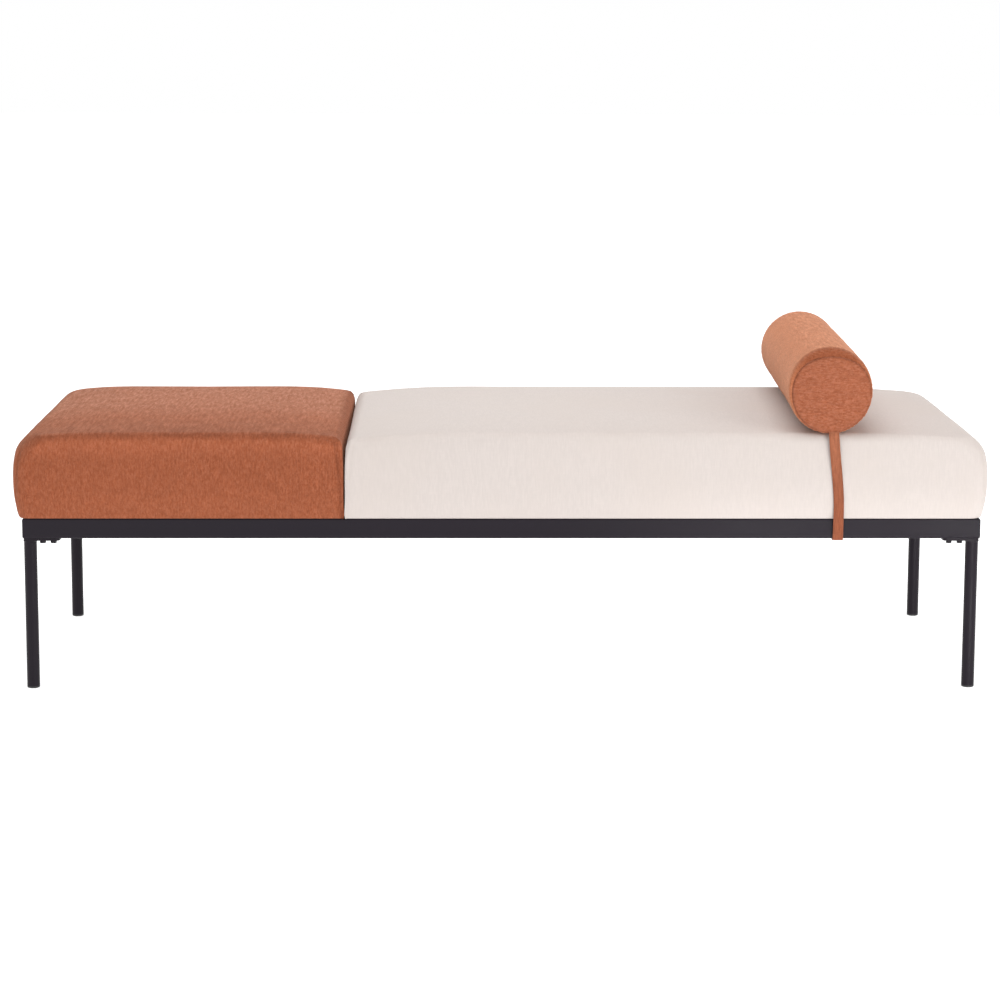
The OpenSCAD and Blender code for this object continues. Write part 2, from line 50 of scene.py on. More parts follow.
def make_camera():
    pitch, yaw, roll = (math.radians(a) for a in (8.773, -1.082, 0.203))
    base = np.array([[1, 0, 0], [0, 0, -1], [0, 1, 0]], float)
    rw = np.array([[math.cos(yaw), math.sin(yaw), 0], [-math.sin(yaw), math.cos(yaw), 0], [0, 0, 1]])
    rx = np.array([[1, 0, 0], [0, math.cos(pitch), -math.sin(pitch)], [0, math.sin(pitch), math.cos(pitch)]])
    rz = np.array([[math.cos(roll), -math.sin(roll), 0], [math.sin(roll), math.cos(roll), 0], [0, 0, 1]])
    m = rz @ rx @ base @ rw
    data = bpy.data.cameras.new("camera")
    data.sensor_fit = "HORIZONTAL"
    data.sensor_width = 36.0
    data.lens = 2749.2 * 36.0 / 1000.0
    data.shift_x, data.shift_y = 0.0, -0.06
    data.clip_start, data.clip_end = 0.1, 200.0
    cam = bpy.data.objects.new("camera", data)
    COLL.objects.link(cam)
    world = Matrix.Identity(4)
    for i, axis in enumerate((m[0], -m[1], -m[2])):
        for r in range(3):
            world[r][i] = float(axis[r])
    world.translation = Vector((-0.1013, -5.3866, 1.2553))
    cam.matrix_world = world
    scene.camera = cam


make_camera()
scene.view_settings.view_transform = "Standard"
scene.view_settings.look = "None"
scene.view_settings.exposure = 0.0
scene.view_settings.gamma = 1.0


# ---------------------------------------------------------------- material helpers

class Mat:
    """A small builder for node materials."""

    def __init__(self, name):
        self.m = bpy.data.materials.new(name)
        self.m.use_nodes = True
        self.t = self.m.node_tree
        self.t.nodes.clear()
        self.out = self.t.nodes.new("ShaderNodeOutputMaterial")
        self.bsdf = self.t.nodes.new("ShaderNodeBsdfPrincipled")
        self.t.links.new(self.bsdf.outputs[0], self.out.inputs[0])
        self.tc = self.t.nodes.new("ShaderNodeTexCoord")

    def set(self, **values):
        for k, v in values.items():
            self.bsdf.inputs[k.replace("_", " ")].default_value = v
        return self

    def link(self, a, b):
        self.t.links.new(a, b)

    def put(self, value, socket):
        if isinstance(value, bpy.types.NodeSocket):
            self.link(value, socket)
        else:
            socket.default_value = value

    def mapping(self, scale, rotation=(0, 0, 0), location=(0, 0, 0), source=None):
        n = self.t.nodes.new("ShaderNodeMapping")
        n.inputs["Scale"].default_value = scale
        n.inputs["Rotation"].default_value = rotation
        n.inputs["Location"].default_value = location
        self.link(source or self.tc.outputs["Object"], n.inputs["Vector"])
        return n.outputs[0]

    def noise(self, vector, scale=1.0, detail=2.0, rough=0.5, distortion=0.0):
        n = self.t.nodes.new("ShaderNodeTexNoise")
        n.inputs["Scale"].default_value = scale
        n.inputs["Detail"].default_value = detail
        n.inputs["Roughness"].default_value = rough
        n.inputs["Distortion"].default_value = distortion
        self.link(vector, n.inputs["Vector"])
        return n.outputs[0]

    def wave(self, vector, scale, axis="X", distortion=0.0, detail=0.0, detail_scale=1.0, profile="SIN"):
        n = self.t.nodes.new("ShaderNodeTexWave")
        n.wave_type, n.bands_direction, n.wave_profile = "BANDS", axis, profile
        n.inputs["Scale"].default_value = scale
        n.inputs["Distortion"].default_value = distortion
        n.inputs["Detail"].default_value = detail
        n.inputs["Detail Scale"].default_value = detail_scale
        self.link(vector, n.inputs["Vector"])
        return n.outputs["Fac"]

    def voronoi(self, vector, scale, feature="F1", randomness=1.0):
        n = self.t.nodes.new("ShaderNodeTexVoronoi")
        n.feature = feature
        n.inputs["Scale"].default_value = scale
        n.inputs["Randomness"].default_value = randomness
        self.link(vector, n.inputs["Vector"])
        return n.outputs["Distance"]

    def math(self, op, a, b=0.5, c=None, clamp=False):
        n = self.t.nodes.new("ShaderNodeMath")
        n.operation, n.use_clamp = op, clamp
        self.put(a, n.inputs[0])
        if len(n.inputs) > 1:
            self.put(b, n.inputs[1])
        if c is not None:
            self.put(c, n.inputs[2])
        return n.outputs[0]

    def remap(self, v, a, b, c=0.0, d=1.0, smooth=True):
        n = self.t.nodes.new("ShaderNodeMapRange")
        n.interpolation_type = "SMOOTHSTEP" if smooth else "LINEAR"
        self.link(v, n.inputs["Value"])
        for k, x in zip(("From Min", "From Max", "To Min", "To Max"), (a, b, c, d)):
            n.inputs[k].default_value = x
        return n.outputs[0]

    def mixf(self, fac, a, b):
        n = self.t.nodes.new("ShaderNodeMix")
        n.data_type = "FLOAT"
        self.put(fac, n.inputs[0])
        self.put(a, n.inputs[2])
        self.put(b, n.inputs[3])
        return n.outputs[0]

    def mix(self, fac, a, b, mode="MIX"):
        n = self.t.nodes.new("ShaderNodeMix")
        n.data_type, n.blend_type = "RGBA", mode
        n.clamp_factor = True
        self.put(fac, n.inputs[0])
        self.put(a if isinstance(a, bpy.types.NodeSocket) else (*a[:3], 1.0), n.inputs[6])
        self.put(b if isinstance(b, bpy.types.NodeSocket) else (*b[:3], 1.0), n.inputs[7])
        return n.outputs[2]

    def grey(self, v):
        n = self.t.nodes.new("ShaderNodeCombineColor")
        for i in range(3):
            self.link(v, n.inputs[i])
        return n.outputs[0]

    def ramp(self, v, stops):
        n = self.t.nodes.new("ShaderNodeValToRGB")
        e = n.color_ramp.elements
        while len(e) < len(stops):
            e.new(0.5)
        for el, (p, c) in zip(e, stops):
            el.position, el.color = p, (*c[:3], 1.0)
        self.link(v, n.inputs[0])
        return n.outputs[0]

    def attr(self, name):
        n = self.t.nodes.new("ShaderNodeAttribute")
        n.attribute_type, n.attribute_name = "GEOMETRY", name
        return n.outputs["Fac"]

    def bump(self, height, strength, distance, normal=None):
        n = self.t.nodes.new("ShaderNodeBump")
        n.inputs["Strength"].default_value = strength
        n.inputs["Distance"].default_value = distance
        self.link(height, n.inputs["Height"])
        if normal is not None:
            self.link(normal, n.inputs["Normal"])
        return n.outputs[0]

    def color(self, socket):
        self.link(socket, self.bsdf.inputs["Base Color"])

    def rough(self, socket):
        self.link(socket, self.bsdf.inputs["Roughness"])

    def normal(self, socket):
        self.link(socket, self.bsdf.inputs["Normal"])


def shade(c, k):
    return tuple(min(1.0, x * k) for x in c)


# ---------------------------------------------------------------- fabrics

def chenille(name, base, fast, end_fast=None, contrast=1.0, sheen=0.2, sheen_tint=(1.0, 0.74, 0.55), painted_shade_tint=(0.5, 0.5, 0.5)):
    """Flecked chenille. fast lists the object axes across the yarn; end_fast is the same for faces that look along X."""
    m = Mat(name)

    def vec(f, hi, lo):
        s = [lo, lo, lo]
        for a in f:
            s[a] = hi
        return tuple(s)

    def flecks(hi, lo, detail):
        a = m.noise(m.mapping(vec(fast, hi, lo)), 1.0, detail, 0.6, 0.25)
        if end_fast is None:
            return a
        b = m.noise(m.mapping(vec(end_fast, hi, lo)), 1.0, detail, 0.6, 0.25)
        return m.mixf(side, a, b)

    if end_fast is not None:
        sep = m.t.nodes.new("ShaderNodeSeparateXYZ")
        m.link(m.tc.outputs["Normal"], sep.inputs[0])
        side = m.remap(m.math("ABSOLUTE", sep.outputs[0]), 0.72, 0.8)
    long_f = flecks(300, 62, 3.0)
    fine_f = flecks(620, 260, 2.0)
    yarn_f = flecks(1500, 520, 1.0)
    fuzz = m.noise(m.mapping((1, 1, 1)), 420.0, 4.0, 0.75)
    mottle = flecks(150, 85, 4.0)
    knots = flecks(330, 150, 3.0)
    blotch = m.noise(m.mapping((1, 1, 1)), 30.0, 4.0, 0.62)
    cloud = m.noise(m.mapping((1, 1, 1)), 6.0, 2.0, 0.5)
    k = contrast
    c = m.mix(m.remap(long_f, 0.30, 0.70), shade(base, 1 - 0.14 * k), shade(base, 1 + 0.13 * k))
    pale = (base[0] * 1.32, base[1] * 1.5, base[2] * 1.75)
    deep = (base[0] * 0.74, base[1] * 0.6, base[2] * 0.48)
    c = m.mix(m.remap(mottle, 0.50, 0.64, 0.0, 0.28 * k), c, pale)
    c = m.mix(m.remap(mottle, 0.49, 0.37, 0.0, 0.34 * k), c, deep)
    c = m.mix(m.remap(knots, 0.53, 0.66, 0.0, 0.50 * k), c, pale)
    c = m.mix(m.remap(knots, 0.47, 0.36, 0.0, 0.52 * k), c, deep)
    c = m.mix(m.remap(fine_f, 0.58, 0.78, 0.0, 0.50 * k), c, shade(base, 1.5))
    c = m.mix(m.remap(fine_f, 0.44, 0.26, 0.0, 0.52 * k), c, shade(base, 0.58))
    c = m.mix(m.remap(fuzz, 0.56, 0.72, 0.0, 0.40 * k), c, shade(base, 1.45))
    c = m.mix(m.remap(fuzz, 0.44, 0.30, 0.0, 0.42 * k), c, shade(base, 0.6))
    c = m.mix(m.remap(blotch, 0.36, 0.66, 0.0, 0.20), c, shade(base, 0.74))
    c = m.mix(m.remap(cloud, 0.35, 0.65, 0.0, 0.10), c, shade(base, 1.3))
    # painted shade: the colour is darkened where the fabric turns round the top edge, along the front of the top and in
    # the seam grooves
    # on the faces that look up the yarns lie in longer streaks
    sep_n = m.t.nodes.new("ShaderNodeSeparateXYZ")
    m.link(m.tc.outputs["Normal"], sep_n.inputs[0])
    up = m.remap(sep_n.outputs[2], 0.70, 0.97)
    streak = flecks(190, 26, 4.0)
    c = m.mix(m.math("MULTIPLY", up, m.remap(streak, 0.51, 0.66, 0.0, 0.85 * k)), c, pale)
    c = m.mix(m.math("MULTIPLY", up, m.remap(streak, 0.49, 0.35, 0.0, 0.85 * k)), c, deep)
    # painted sheen: the colour of the top faces is made paler towards the back
    c = m.mix(m.attr("brushing_and_painted_sheen"), c, (1.18, 1.49, 1.84), "MULTIPLY")
    c = m.mix(m.attr("painted_shade"), c, painted_shade_tint, "MULTIPLY")
    # painted highlight: the colour is made lighter on the upper front face just under the top edge
    c = m.mix(m.attr("painted_highlight"), c, (1.30, 1.34, 1.38), "MULTIPLY")
    m.color(c)
    h = m.math("ADD", m.math("MULTIPLY", long_f, 0.4), m.math("ADD", m.math("MULTIPLY", fine_f, 0.7), m.math("ADD", m.math("MULTIPLY", yarn_f, 0.6), m.math("ADD", m.math("MULTIPLY", fuzz, 0.6), m.math("MULTIPLY", knots, 0.9)))))
    m.normal(m.bump(h, 0.55, 0.0015))
    m.rough(m.remap(fine_f, 0.2, 0.8, 0.78, 0.95))
    m.set(Sheen_Weight=sheen, Sheen_Roughness=0.5, Sheen_Tint=(*sheen_tint, 1.0), Specular_IOR_Level=0.12)
    return m.m


def velvet(name, base):
    """Smooth short-pile upholstery fabric with a fine plain weave under the pile."""
    m = Mat(name)
    a = m.noise(m.mapping((420, 60, 60)), 1.0, 2.0, 0.5)
    b = m.noise(m.mapping((60, 420, 420)), 1.0, 2.0, 0.5)
    weave = m.math("MULTIPLY", m.wave(m.mapping((1, 1, 1)), 190.0, "X", 1.2, 1.0, 3.0), m.wave(m.mapping((1, 1, 1)), 190.0, "DIAGONAL", 1.2, 1.0, 3.0))
    cloud = m.noise(m.mapping((1, 1, 1)), 5.5, 3.0, 0.5)
    blotch = m.noise(m.mapping((1, 1, 1)), 45.0, 3.0, 0.6)
    c = m.mix(m.remap(a, 0.3, 0.7), shade(base, 0.965), shade(base, 1.03))
    c = m.mix(m.remap(b, 0.3, 0.7, 0.0, 0.35), c, shade(base, 0.95))
    c = m.mix(m.remap(cloud, 0.35, 0.7, 0.0, 0.5), c, (base[0] * 0.985, base[1] * 0.972, base[2] * 0.955))
    c = m.mix(m.remap(blotch, 0.35, 0.75, 0.0, 0.25), c, shade(base, 0.965))
    # painted shade where the fabric turns over the top edge and in the seam grooves
    c = m.mix(m.math("MULTIPLY", m.attr("painted_shade"), 0.35), c, (base[0] * 0.86, base[1] * 0.83, base[2] * 0.80))
    m.color(c)
    h = m.math("ADD", m.math("MULTIPLY", m.math("ADD", a, b), 0.5), m.math("MULTIPLY", weave, 0.4))
    m.normal(m.bump(h, 0.35, 0.0007))
    m.rough(m.remap(blotch, 0.2, 0.8, 0.82, 0.95))
    m.set(Sheen_Weight=0.03, Sheen_Roughness=0.4, Sheen_Tint=(1.0, 0.98, 0.95, 1.0), Specular_IOR_Level=0.08)
    return m.m


# ---------------------------------------------------------------- hard materials

def powder_coat(name, base, rough=0.42):
    m = Mat(name)
    peel = m.noise(m.mapping((1, 1, 1)), 900.0, 2.0, 0.5)
    speck = m.noise(m.mapping((1, 1, 1)), 2600.0, 1.0, 0.5)
    smear = m.noise(m.mapping((3, 12, 12)), 1.0, 4.0, 0.6)
    c = m.mix(m.remap(smear, 0.3, 0.75, 0.0, 0.6), base, shade(base, 1.22))
    c = m.mix(m.remap(speck, 0.68, 0.78, 0.0, 0.35), c, shade(base, 2.0))
    m.color(c)
    m.rough(m.remap(smear, 0.25, 0.75, rough - 0.05, rough + 0.1))
    m.normal(m.bump(m.math("ADD", peel, m.math("MULTIPLY", speck, 0.4)), 0.22, 0.0004))
    m.set(Specular_IOR_Level=0.20)
    return m.m


def metal(name, base, rough=0.35, stain=(0.4, 0.38, 0.34)):
    m = Mat(name)
    brushing_and_painted_sheen = m.noise(m.mapping((900, 900, 120)), 1.0, 2.0, 0.5)
    spots = m.noise(m.mapping((1, 1, 1)), 210.0, 3.0, 0.6)
    m.color(m.mix(m.remap(spots, 0.45, 0.75, 0.0, 0.5), base, stain))
    m.rough(m.remap(brushing_and_painted_sheen, 0.2, 0.8, rough - 0.08, rough + 0.15))
    m.normal(m.bump(brushing_and_painted_sheen, 0.12, 0.0002))
    m.set(Metallic=1.0)
    return m.m


def plastic(name, base):
    m = Mat(name)
    grain = m.voronoi(m.mapping((1, 1, 1)), 1100.0)
    scuff = m.noise(m.mapping((160, 160, 22)), 1.0, 4.0, 0.65)
    m.color(m.mix(m.remap(scuff, 0.58, 0.8, 0.0, 0.5), base, shade(base, 2.6)))
    m.rough(m.remap(scuff, 0.3, 0.7, 0.45, 0.62))
    m.normal(m.bump(grain, 0.25, 0.0003))
    return m.m


def plywood(name):
    m = Mat(name)
    grain = m.noise(m.mapping((6, 90, 90)), 1.0, 4.0, 0.6, 0.6)
    fine = m.noise(m.mapping((40, 900, 900)), 1.0, 2.0, 0.5)
    ply = m.wave(m.mapping((1, 1, 1)), 62.0, "Z", 0.3, 1.0, 2.0)
    c = m.ramp(grain, [(0.25, (0.42, 0.26, 0.13)), (0.5, (0.58, 0.4, 0.22)), (0.8, (0.70, 0.52, 0.32))])
    c = m.mix(m.remap(fine, 0.5, 0.8, 0.0, 0.3), c, (0.36, 0.22, 0.11))
    c = m.mix(m.remap(ply, 0.2, 0.8, 0.0, 0.25), c, (0.40, 0.25, 0.13))
    m.color(c)
    m.rough(m.remap(fine, 0.2, 0.8, 0.5, 0.7))
    m.normal(m.bump(fine, 0.25, 0.0004))
    return m.m


def foam(name, base):
    m = Mat(name)
    cells = m.voronoi(m.mapping((1, 1, 1)), 750.0)
    m.color(m.mix(m.remap(cells, 0.1, 0.6), shade(base, 0.78), base))
    m.normal(m.bump(cells, 0.5, 0.0008))
    m.set(Roughness=0.95)
    return m.m


def spunbond(name):
    m = Mat(name)
    dots = m.voronoi(m.mapping((1, 1, 1)), 420.0, randomness=0.15)
    fibre = m.noise(m.mapping((1, 1, 1)), 1300.0, 3.0, 0.6, 1.5)
    c = m.mix(m.remap(dots, 0.15, 0.4), (0.034, 0.034, 0.036), (0.017, 0.017, 0.018))
    m.color(m.mix(m.remap(fibre, 0.55, 0.75, 0.0, 0.6), c, (0.05, 0.05, 0.052)))
    m.normal(m.bump(m.math("ADD", dots, m.math("MULTIPLY", fibre, 0.5)), 0.5, 0.0004))
    m.set(Roughness=0.9)
    return m.m


def hook_tape(name):
    m = Mat(name)
    loops = m.noise(m.mapping((1, 1, 1)), 1600.0, 3.0, 0.7, 2.5)
    rows = m.wave(m.mapping((1, 1, 1)), 260.0, "Y", 2.0, 1.0, 3.0)
    m.color(m.mix(m.remap(loops, 0.3, 0.7), (0.010, 0.010, 0.011), (0.05, 0.05, 0.052)))
    m.normal(m.bump(m.math("ADD", loops, m.math("MULTIPLY", rows, 0.4)), 0.8, 0.0008))
    m.set(Roughness=0.85, Sheen_Weight=0.2)
    return m.m


def strap_fabric(name, base, painted_top_light=(1.0, 1.0, 1.0)):
    """The strap's cover: the same yarn, pulled flat, with a fine rib along it."""
    m = Mat(name)
    rib = m.wave(m.mapping((1, 1, 1)), 150.0, "X", 1.0, 2.0, 4.0)
    along = m.noise(m.mapping((700, 60, 60)), 1.0, 3.0, 0.6)
    cross = m.noise(m.mapping((90, 620, 620)), 1.0, 2.0, 0.55)
    blotch = m.noise(m.mapping((1, 1, 1)), 40.0, 3.0, 0.6)
    c = m.mix(m.remap(along, 0.28, 0.72), shade(base, 0.76), shade(base, 1.22))
    c = m.mix(m.remap(cross, 0.55, 0.8, 0.0, 0.5), c, shade(base, 1.45))
    c = m.mix(m.remap(blotch, 0.35, 0.7, 0.0, 0.35), c, shade(base, 0.8))
    sep = m.t.nodes.new("ShaderNodeSeparateXYZ")
    m.link(m.tc.outputs["Object"], sep.inputs[0])
    # painted light: the colour is lighter towards the top of the strap
    c = m.mix(m.remap(sep.outputs[2], 0.33, 0.47), c, painted_top_light, "MULTIPLY")
    # painted shade along the rounded edges and in the stitched channels
    c = m.mix(m.attr("edge"), c, shade(base, 0.55))
    m.color(c)
    m.normal(m.bump(m.math("ADD", m.math("MULTIPLY", rib, 0.3), m.math("ADD", along, m.math("MULTIPLY", cross, 0.7))), 0.5, 0.0009))
    m.set(Roughness=0.88, Sheen_Weight=0.35, Sheen_Roughness=0.4, Sheen_Tint=(1.0, 0.93, 0.85, 1.0), Specular_IOR_Level=0.18)
    return m.m


def thread(name, base):
    m = Mat(name)
    twist = m.wave(m.mapping((1, 1, 1)), 900.0, "DIAGONAL", 0.5)
    m.color(m.mix(m.remap(twist, 0.2, 0.8), shade(base, 0.6), shade(base, 1.2)))
    m.normal(m.bump(twist, 0.4, 0.0002))
    m.set(Roughness=0.6, Sheen_Weight=0.2)
    return m.m


RUST = (0.310, 0.0885, 0.0400)
BEIGE = (0.590, 0.532, 0.502)
M = {
    "rust": chenille("rust_chenille", RUST, (0,), end_fast=(1,), sheen=0.20, sheen_tint=(1.0, 0.66, 0.46), painted_shade_tint=(0.60, 0.56, 0.54)),
    "beige": velvet("beige_velvet", BEIGE),
    # the tube and its end panels are one fabric; the tube's copy has a lighter base, painted light on the tube
    "tube": chenille("bolster_chenille", (0.47, 0.165, 0.077), (0, 2), contrast=0.85, sheen=0.26, painted_shade_tint=(0.58, 0.46, 0.42)),
    "panel": chenille("bolster_end_chenille", (0.335, 0.106, 0.053), (2,), contrast=1.2, sheen=0.14),
    "strap": strap_fabric("strap_chenille", (0.262, 0.078, 0.037), (1.28, 1.46, 1.55)),
    "frame": powder_coat("frame_powder_coat", (0.0100, 0.0066, 0.0115), 0.44),
    "leg": powder_coat("leg_powder_coat", (0.0076, 0.0042, 0.0086), 0.42),
    "black": powder_coat("black_fixings_finish", (0.0112, 0.0090, 0.0122), 0.34),
    "zinc": metal("zinc_plate", (0.66, 0.65, 0.6)),
    "antique": metal("antique_metal", (0.30, 0.25, 0.2), 0.3, (0.12, 0.1, 0.08)),
    "plastic": plastic("foot_plastic", (0.014, 0.014, 0.015)),
    "ply": plywood("plywood"),
    "foam": foam("seat_foam", (0.84, 0.76, 0.52)),
    "wadding": foam("fibre_wadding", (0.88, 0.87, 0.84)),
    "dust": spunbond("dust_cloth"),
    "hook": hook_tape("hook_and_loop"),
    "thread": thread("rust_thread", (0.36, 0.10, 0.045)),
    "thread_b": thread("beige_thread", (0.7, 0.62, 0.56)),
    "zip": strap_fabric("zip_tape", (0.24, 0.075, 0.036)),
}
FINISH = {
    "frame_steel": "frame", "leg_steel": "leg", "black_fixings": "black", "zinc_fixings": "zinc", "foot_plastic": "plastic",
    "plywood": "ply", "foam": "foam", "wadding": "wadding", "rust_fabric": "rust", "beige_fabric": "beige", "bolster_fabric": "tube",
    "strap_fabric": "strap", "dust_cloth": "dust", "zip_tape": "zip", "zip_metal": "antique", "hook_loop": "hook",
}
for s in frame["record"]["subparts"]:
    ob = NODES[s["node"]]
    ob.data.materials.clear()
    ob.data.materials.append(M[FINISH[s["material_slot"]]])


# ---------------------------------------------------------------- mesh helpers

def new_mesh(name, verts, faces, material=None, smooth=True):
    me = bpy.data.meshes.new(name)
    me.from_pydata([tuple(map(float, v)) for v in verts], [], [tuple(map(int, f)) for f in faces])
    me.validate()
    me.update()
    if smooth:
        me.polygons.foreach_set("use_smooth", [True] * len(me.polygons))
    ob = bpy.data.objects.new(name, me)
    COLL.objects.link(ob)
    if material is not None:
        me.materials.append(material)
    return ob


def coords(ob):
    co = np.empty(len(ob.data.vertices) * 3, np.float32)
    ob.data.vertices.foreach_get("co", co)
    return co.reshape(-1, 3).astype(float)


def set_coords(ob, co):
    ob.data.vertices.foreach_set("co", np.ascontiguousarray(co, np.float32).ravel())
    ob.data.update()


def normals(ob):
    n = np.empty(len(ob.data.vertices) * 3, np.float32)
    ob.data.vertex_normals.foreach_get("vector", n)
    return n.reshape(-1, 3).astype(float)


def add_attr(ob, name, values):
    a = ob.data.attributes.get(name) or ob.data.attributes.new(name, "FLOAT", "POINT")
    a.data.foreach_set("value", np.ascontiguousarray(values, np.float32))


def apply_modifiers(ob):
    dg = bpy.context.evaluated_depsgraph_get()
    me = bpy.data.meshes.new_from_object(ob.evaluated_get(dg))
    old = ob.data
    ob.modifiers.clear()
    ob.data = me
    bpy.data.meshes.remove(old)
    me.name = ob.name
    return ob


def subdivide(ob, levels=1):
    m = ob.modifiers.new("sub", "SUBSURF")
    m.levels = m.render_levels = levels
    return apply_modifiers(ob)


def smooth01(x):
    x = np.clip(x, 0.0, 1.0)
    return x * x * (3 - 2 * x)


def field(co, scale, seed):
    """Smooth gradient noise from about -1 to 1 at each point."""
    rng = np.random.RandomState(int(seed * 1000) % 100003)
    perm = rng.permutation(256)
    grad = rng.normal(size=(256, 3))
    grad /= np.linalg.norm(grad, axis=1, keepdims=True)
    q = np.asarray(co, float) * scale + seed
    base = np.floor(q).astype(int)
    f = q - base
    w = f * f * f * (f * (f * 6 - 15) + 10)
    out = np.zeros(len(q))
    for dx in (0, 1):
        for dy in (0, 1):
            for dz in (0, 1):
                h = perm[(perm[(perm[(base[:, 0] + dx) % 256] + base[:, 1] + dy) % 256] + base[:, 2] + dz) % 256]
                g = grad[h]
                d = g[:, 0] * (f[:, 0] - dx) + g[:, 1] * (f[:, 1] - dy) + g[:, 2] * (f[:, 2] - dz)
                out += d * (w[:, 0] if dx else 1 - w[:, 0]) * (w[:, 1] if dy else 1 - w[:, 1]) * (w[:, 2] if dz else 1 - w[:, 2])
    return out * 1.7


def inflate(ob, pinned, backing, pressure, frames=20, shrink=0.0, tension=15.0, bending=0.5):
    """Cloth under inner pressure, held at the pinned points and backed by the filling elsewhere (backing: 0 free to 1 held)."""
    start = coords(ob)
    vg = ob.vertex_groups.new(name="held")
    vg.add([int(i) for i in np.nonzero(pinned)[0]], 1.0, "REPLACE")
    level = np.round(np.clip(backing, 0, 0.95) * 20).astype(int)
    for k in np.unique(level[~pinned]):
        if k > 0:
            vg.add([int(i) for i in np.nonzero((level == k) & ~pinned)[0]], float(k) / 20, "REPLACE")
    mod = ob.modifiers.new("cloth", "CLOTH")
    s = mod.settings
    s.quality = 5
    s.mass = 0.3
    s.tension_stiffness = s.compression_stiffness = tension
    s.shear_stiffness = 5.0
    s.bending_stiffness = bending
    s.use_pressure = True
    s.uniform_pressure_force = pressure
    s.vertex_group_mass = "held"
    s.pin_stiffness = 1.0
    s.shrink_min = shrink
    s.effector_weights.gravity = 0.0
    mod.collision_settings.use_collision = False
    mod.collision_settings.use_self_collision = False
    mod.point_cache.frame_start, mod.point_cache.frame_end = 1, frames
    for f in range(1, frames + 1):
        scene.frame_set(f)
    dg = bpy.context.evaluated_depsgraph_get()
    ev = ob.evaluated_get(dg)
    me = ev.to_mesh()
    co = np.empty(len(me.vertices) * 3, np.float32)
    me.vertices.foreach_get("co", co)
    co = co.reshape(-1, 3).astype(float)
    ev.to_mesh_clear()
    ob.modifiers.clear()
    ob.vertex_groups.clear()
    scene.frame_set(1)
    return co


def follow(target, nrm, moved, inward, outward, along_face):
    """The simulated shape, kept within a few millimetres of the form that the filling gives it."""
    d = moved - target
    n = (d * nrm).sum(axis=1)
    t = d - nrm * n[:, None]
    print("cloth normal offset mm: mean", round(float(n.mean()) * 1000, 2), "min", round(float(n.min()) * 1000, 2), "max", round(float(n.max()) * 1000, 2))
    n = np.where(n < 0, -inward * np.tanh(-n / inward), outward * np.tanh(n / outward))
    ln = np.linalg.norm(t, axis=1)
    t = t * (along_face * np.tanh(ln / along_face) / np.maximum(ln, 1e-9))[:, None]
    return target + nrm * n[:, None] + t


# ---------------------------------------------------------------- seat pads

Z0, Z_EDGE, Z_TOP = 0.326, 0.4885, 0.495
HALF_Y = 0.343
FOLD = 0.036


def steps(length, fine, coarse, zone):
    """Positions from 0 to length, dense at both ends."""
    half = [0.0]
    step = fine
    while half[-1] < length / 2:
        half.append(half[-1] + step)
        if half[-1] > zone:
            step = min(coarse, step * 1.18)
    half = np.array(half) * (length / 2 / half[-1])
    return np.concatenate([half, (length - half[::-1])[1:]])


def side_in(z, tuck, lean):
    """How far the side draws in from its widest line, for a height."""
    zc = Z0 + 0.072
    low = tuck * np.clip((zc - z) / (zc - Z0), 0, 1) ** 2.4
    high = lean * np.clip((z - zc) / (Z_EDGE - 0.02 - zc), 0, 1) ** 2
    return low + high


def crown(y):
    """Height of the pad's top along its depth, without the droop of the ends."""
    dy = HALF_Y - np.abs(y)
    top = Z_TOP - 0.0065 * (1 - np.clip((dy - 0.018) / (HALF_Y - 0.018), 0, 1)) ** 2.6
    edge = np.clip(0.023 - dy, 0, 0.02)
    return top - (0.020 - np.sqrt(0.020 ** 2 - edge ** 2))


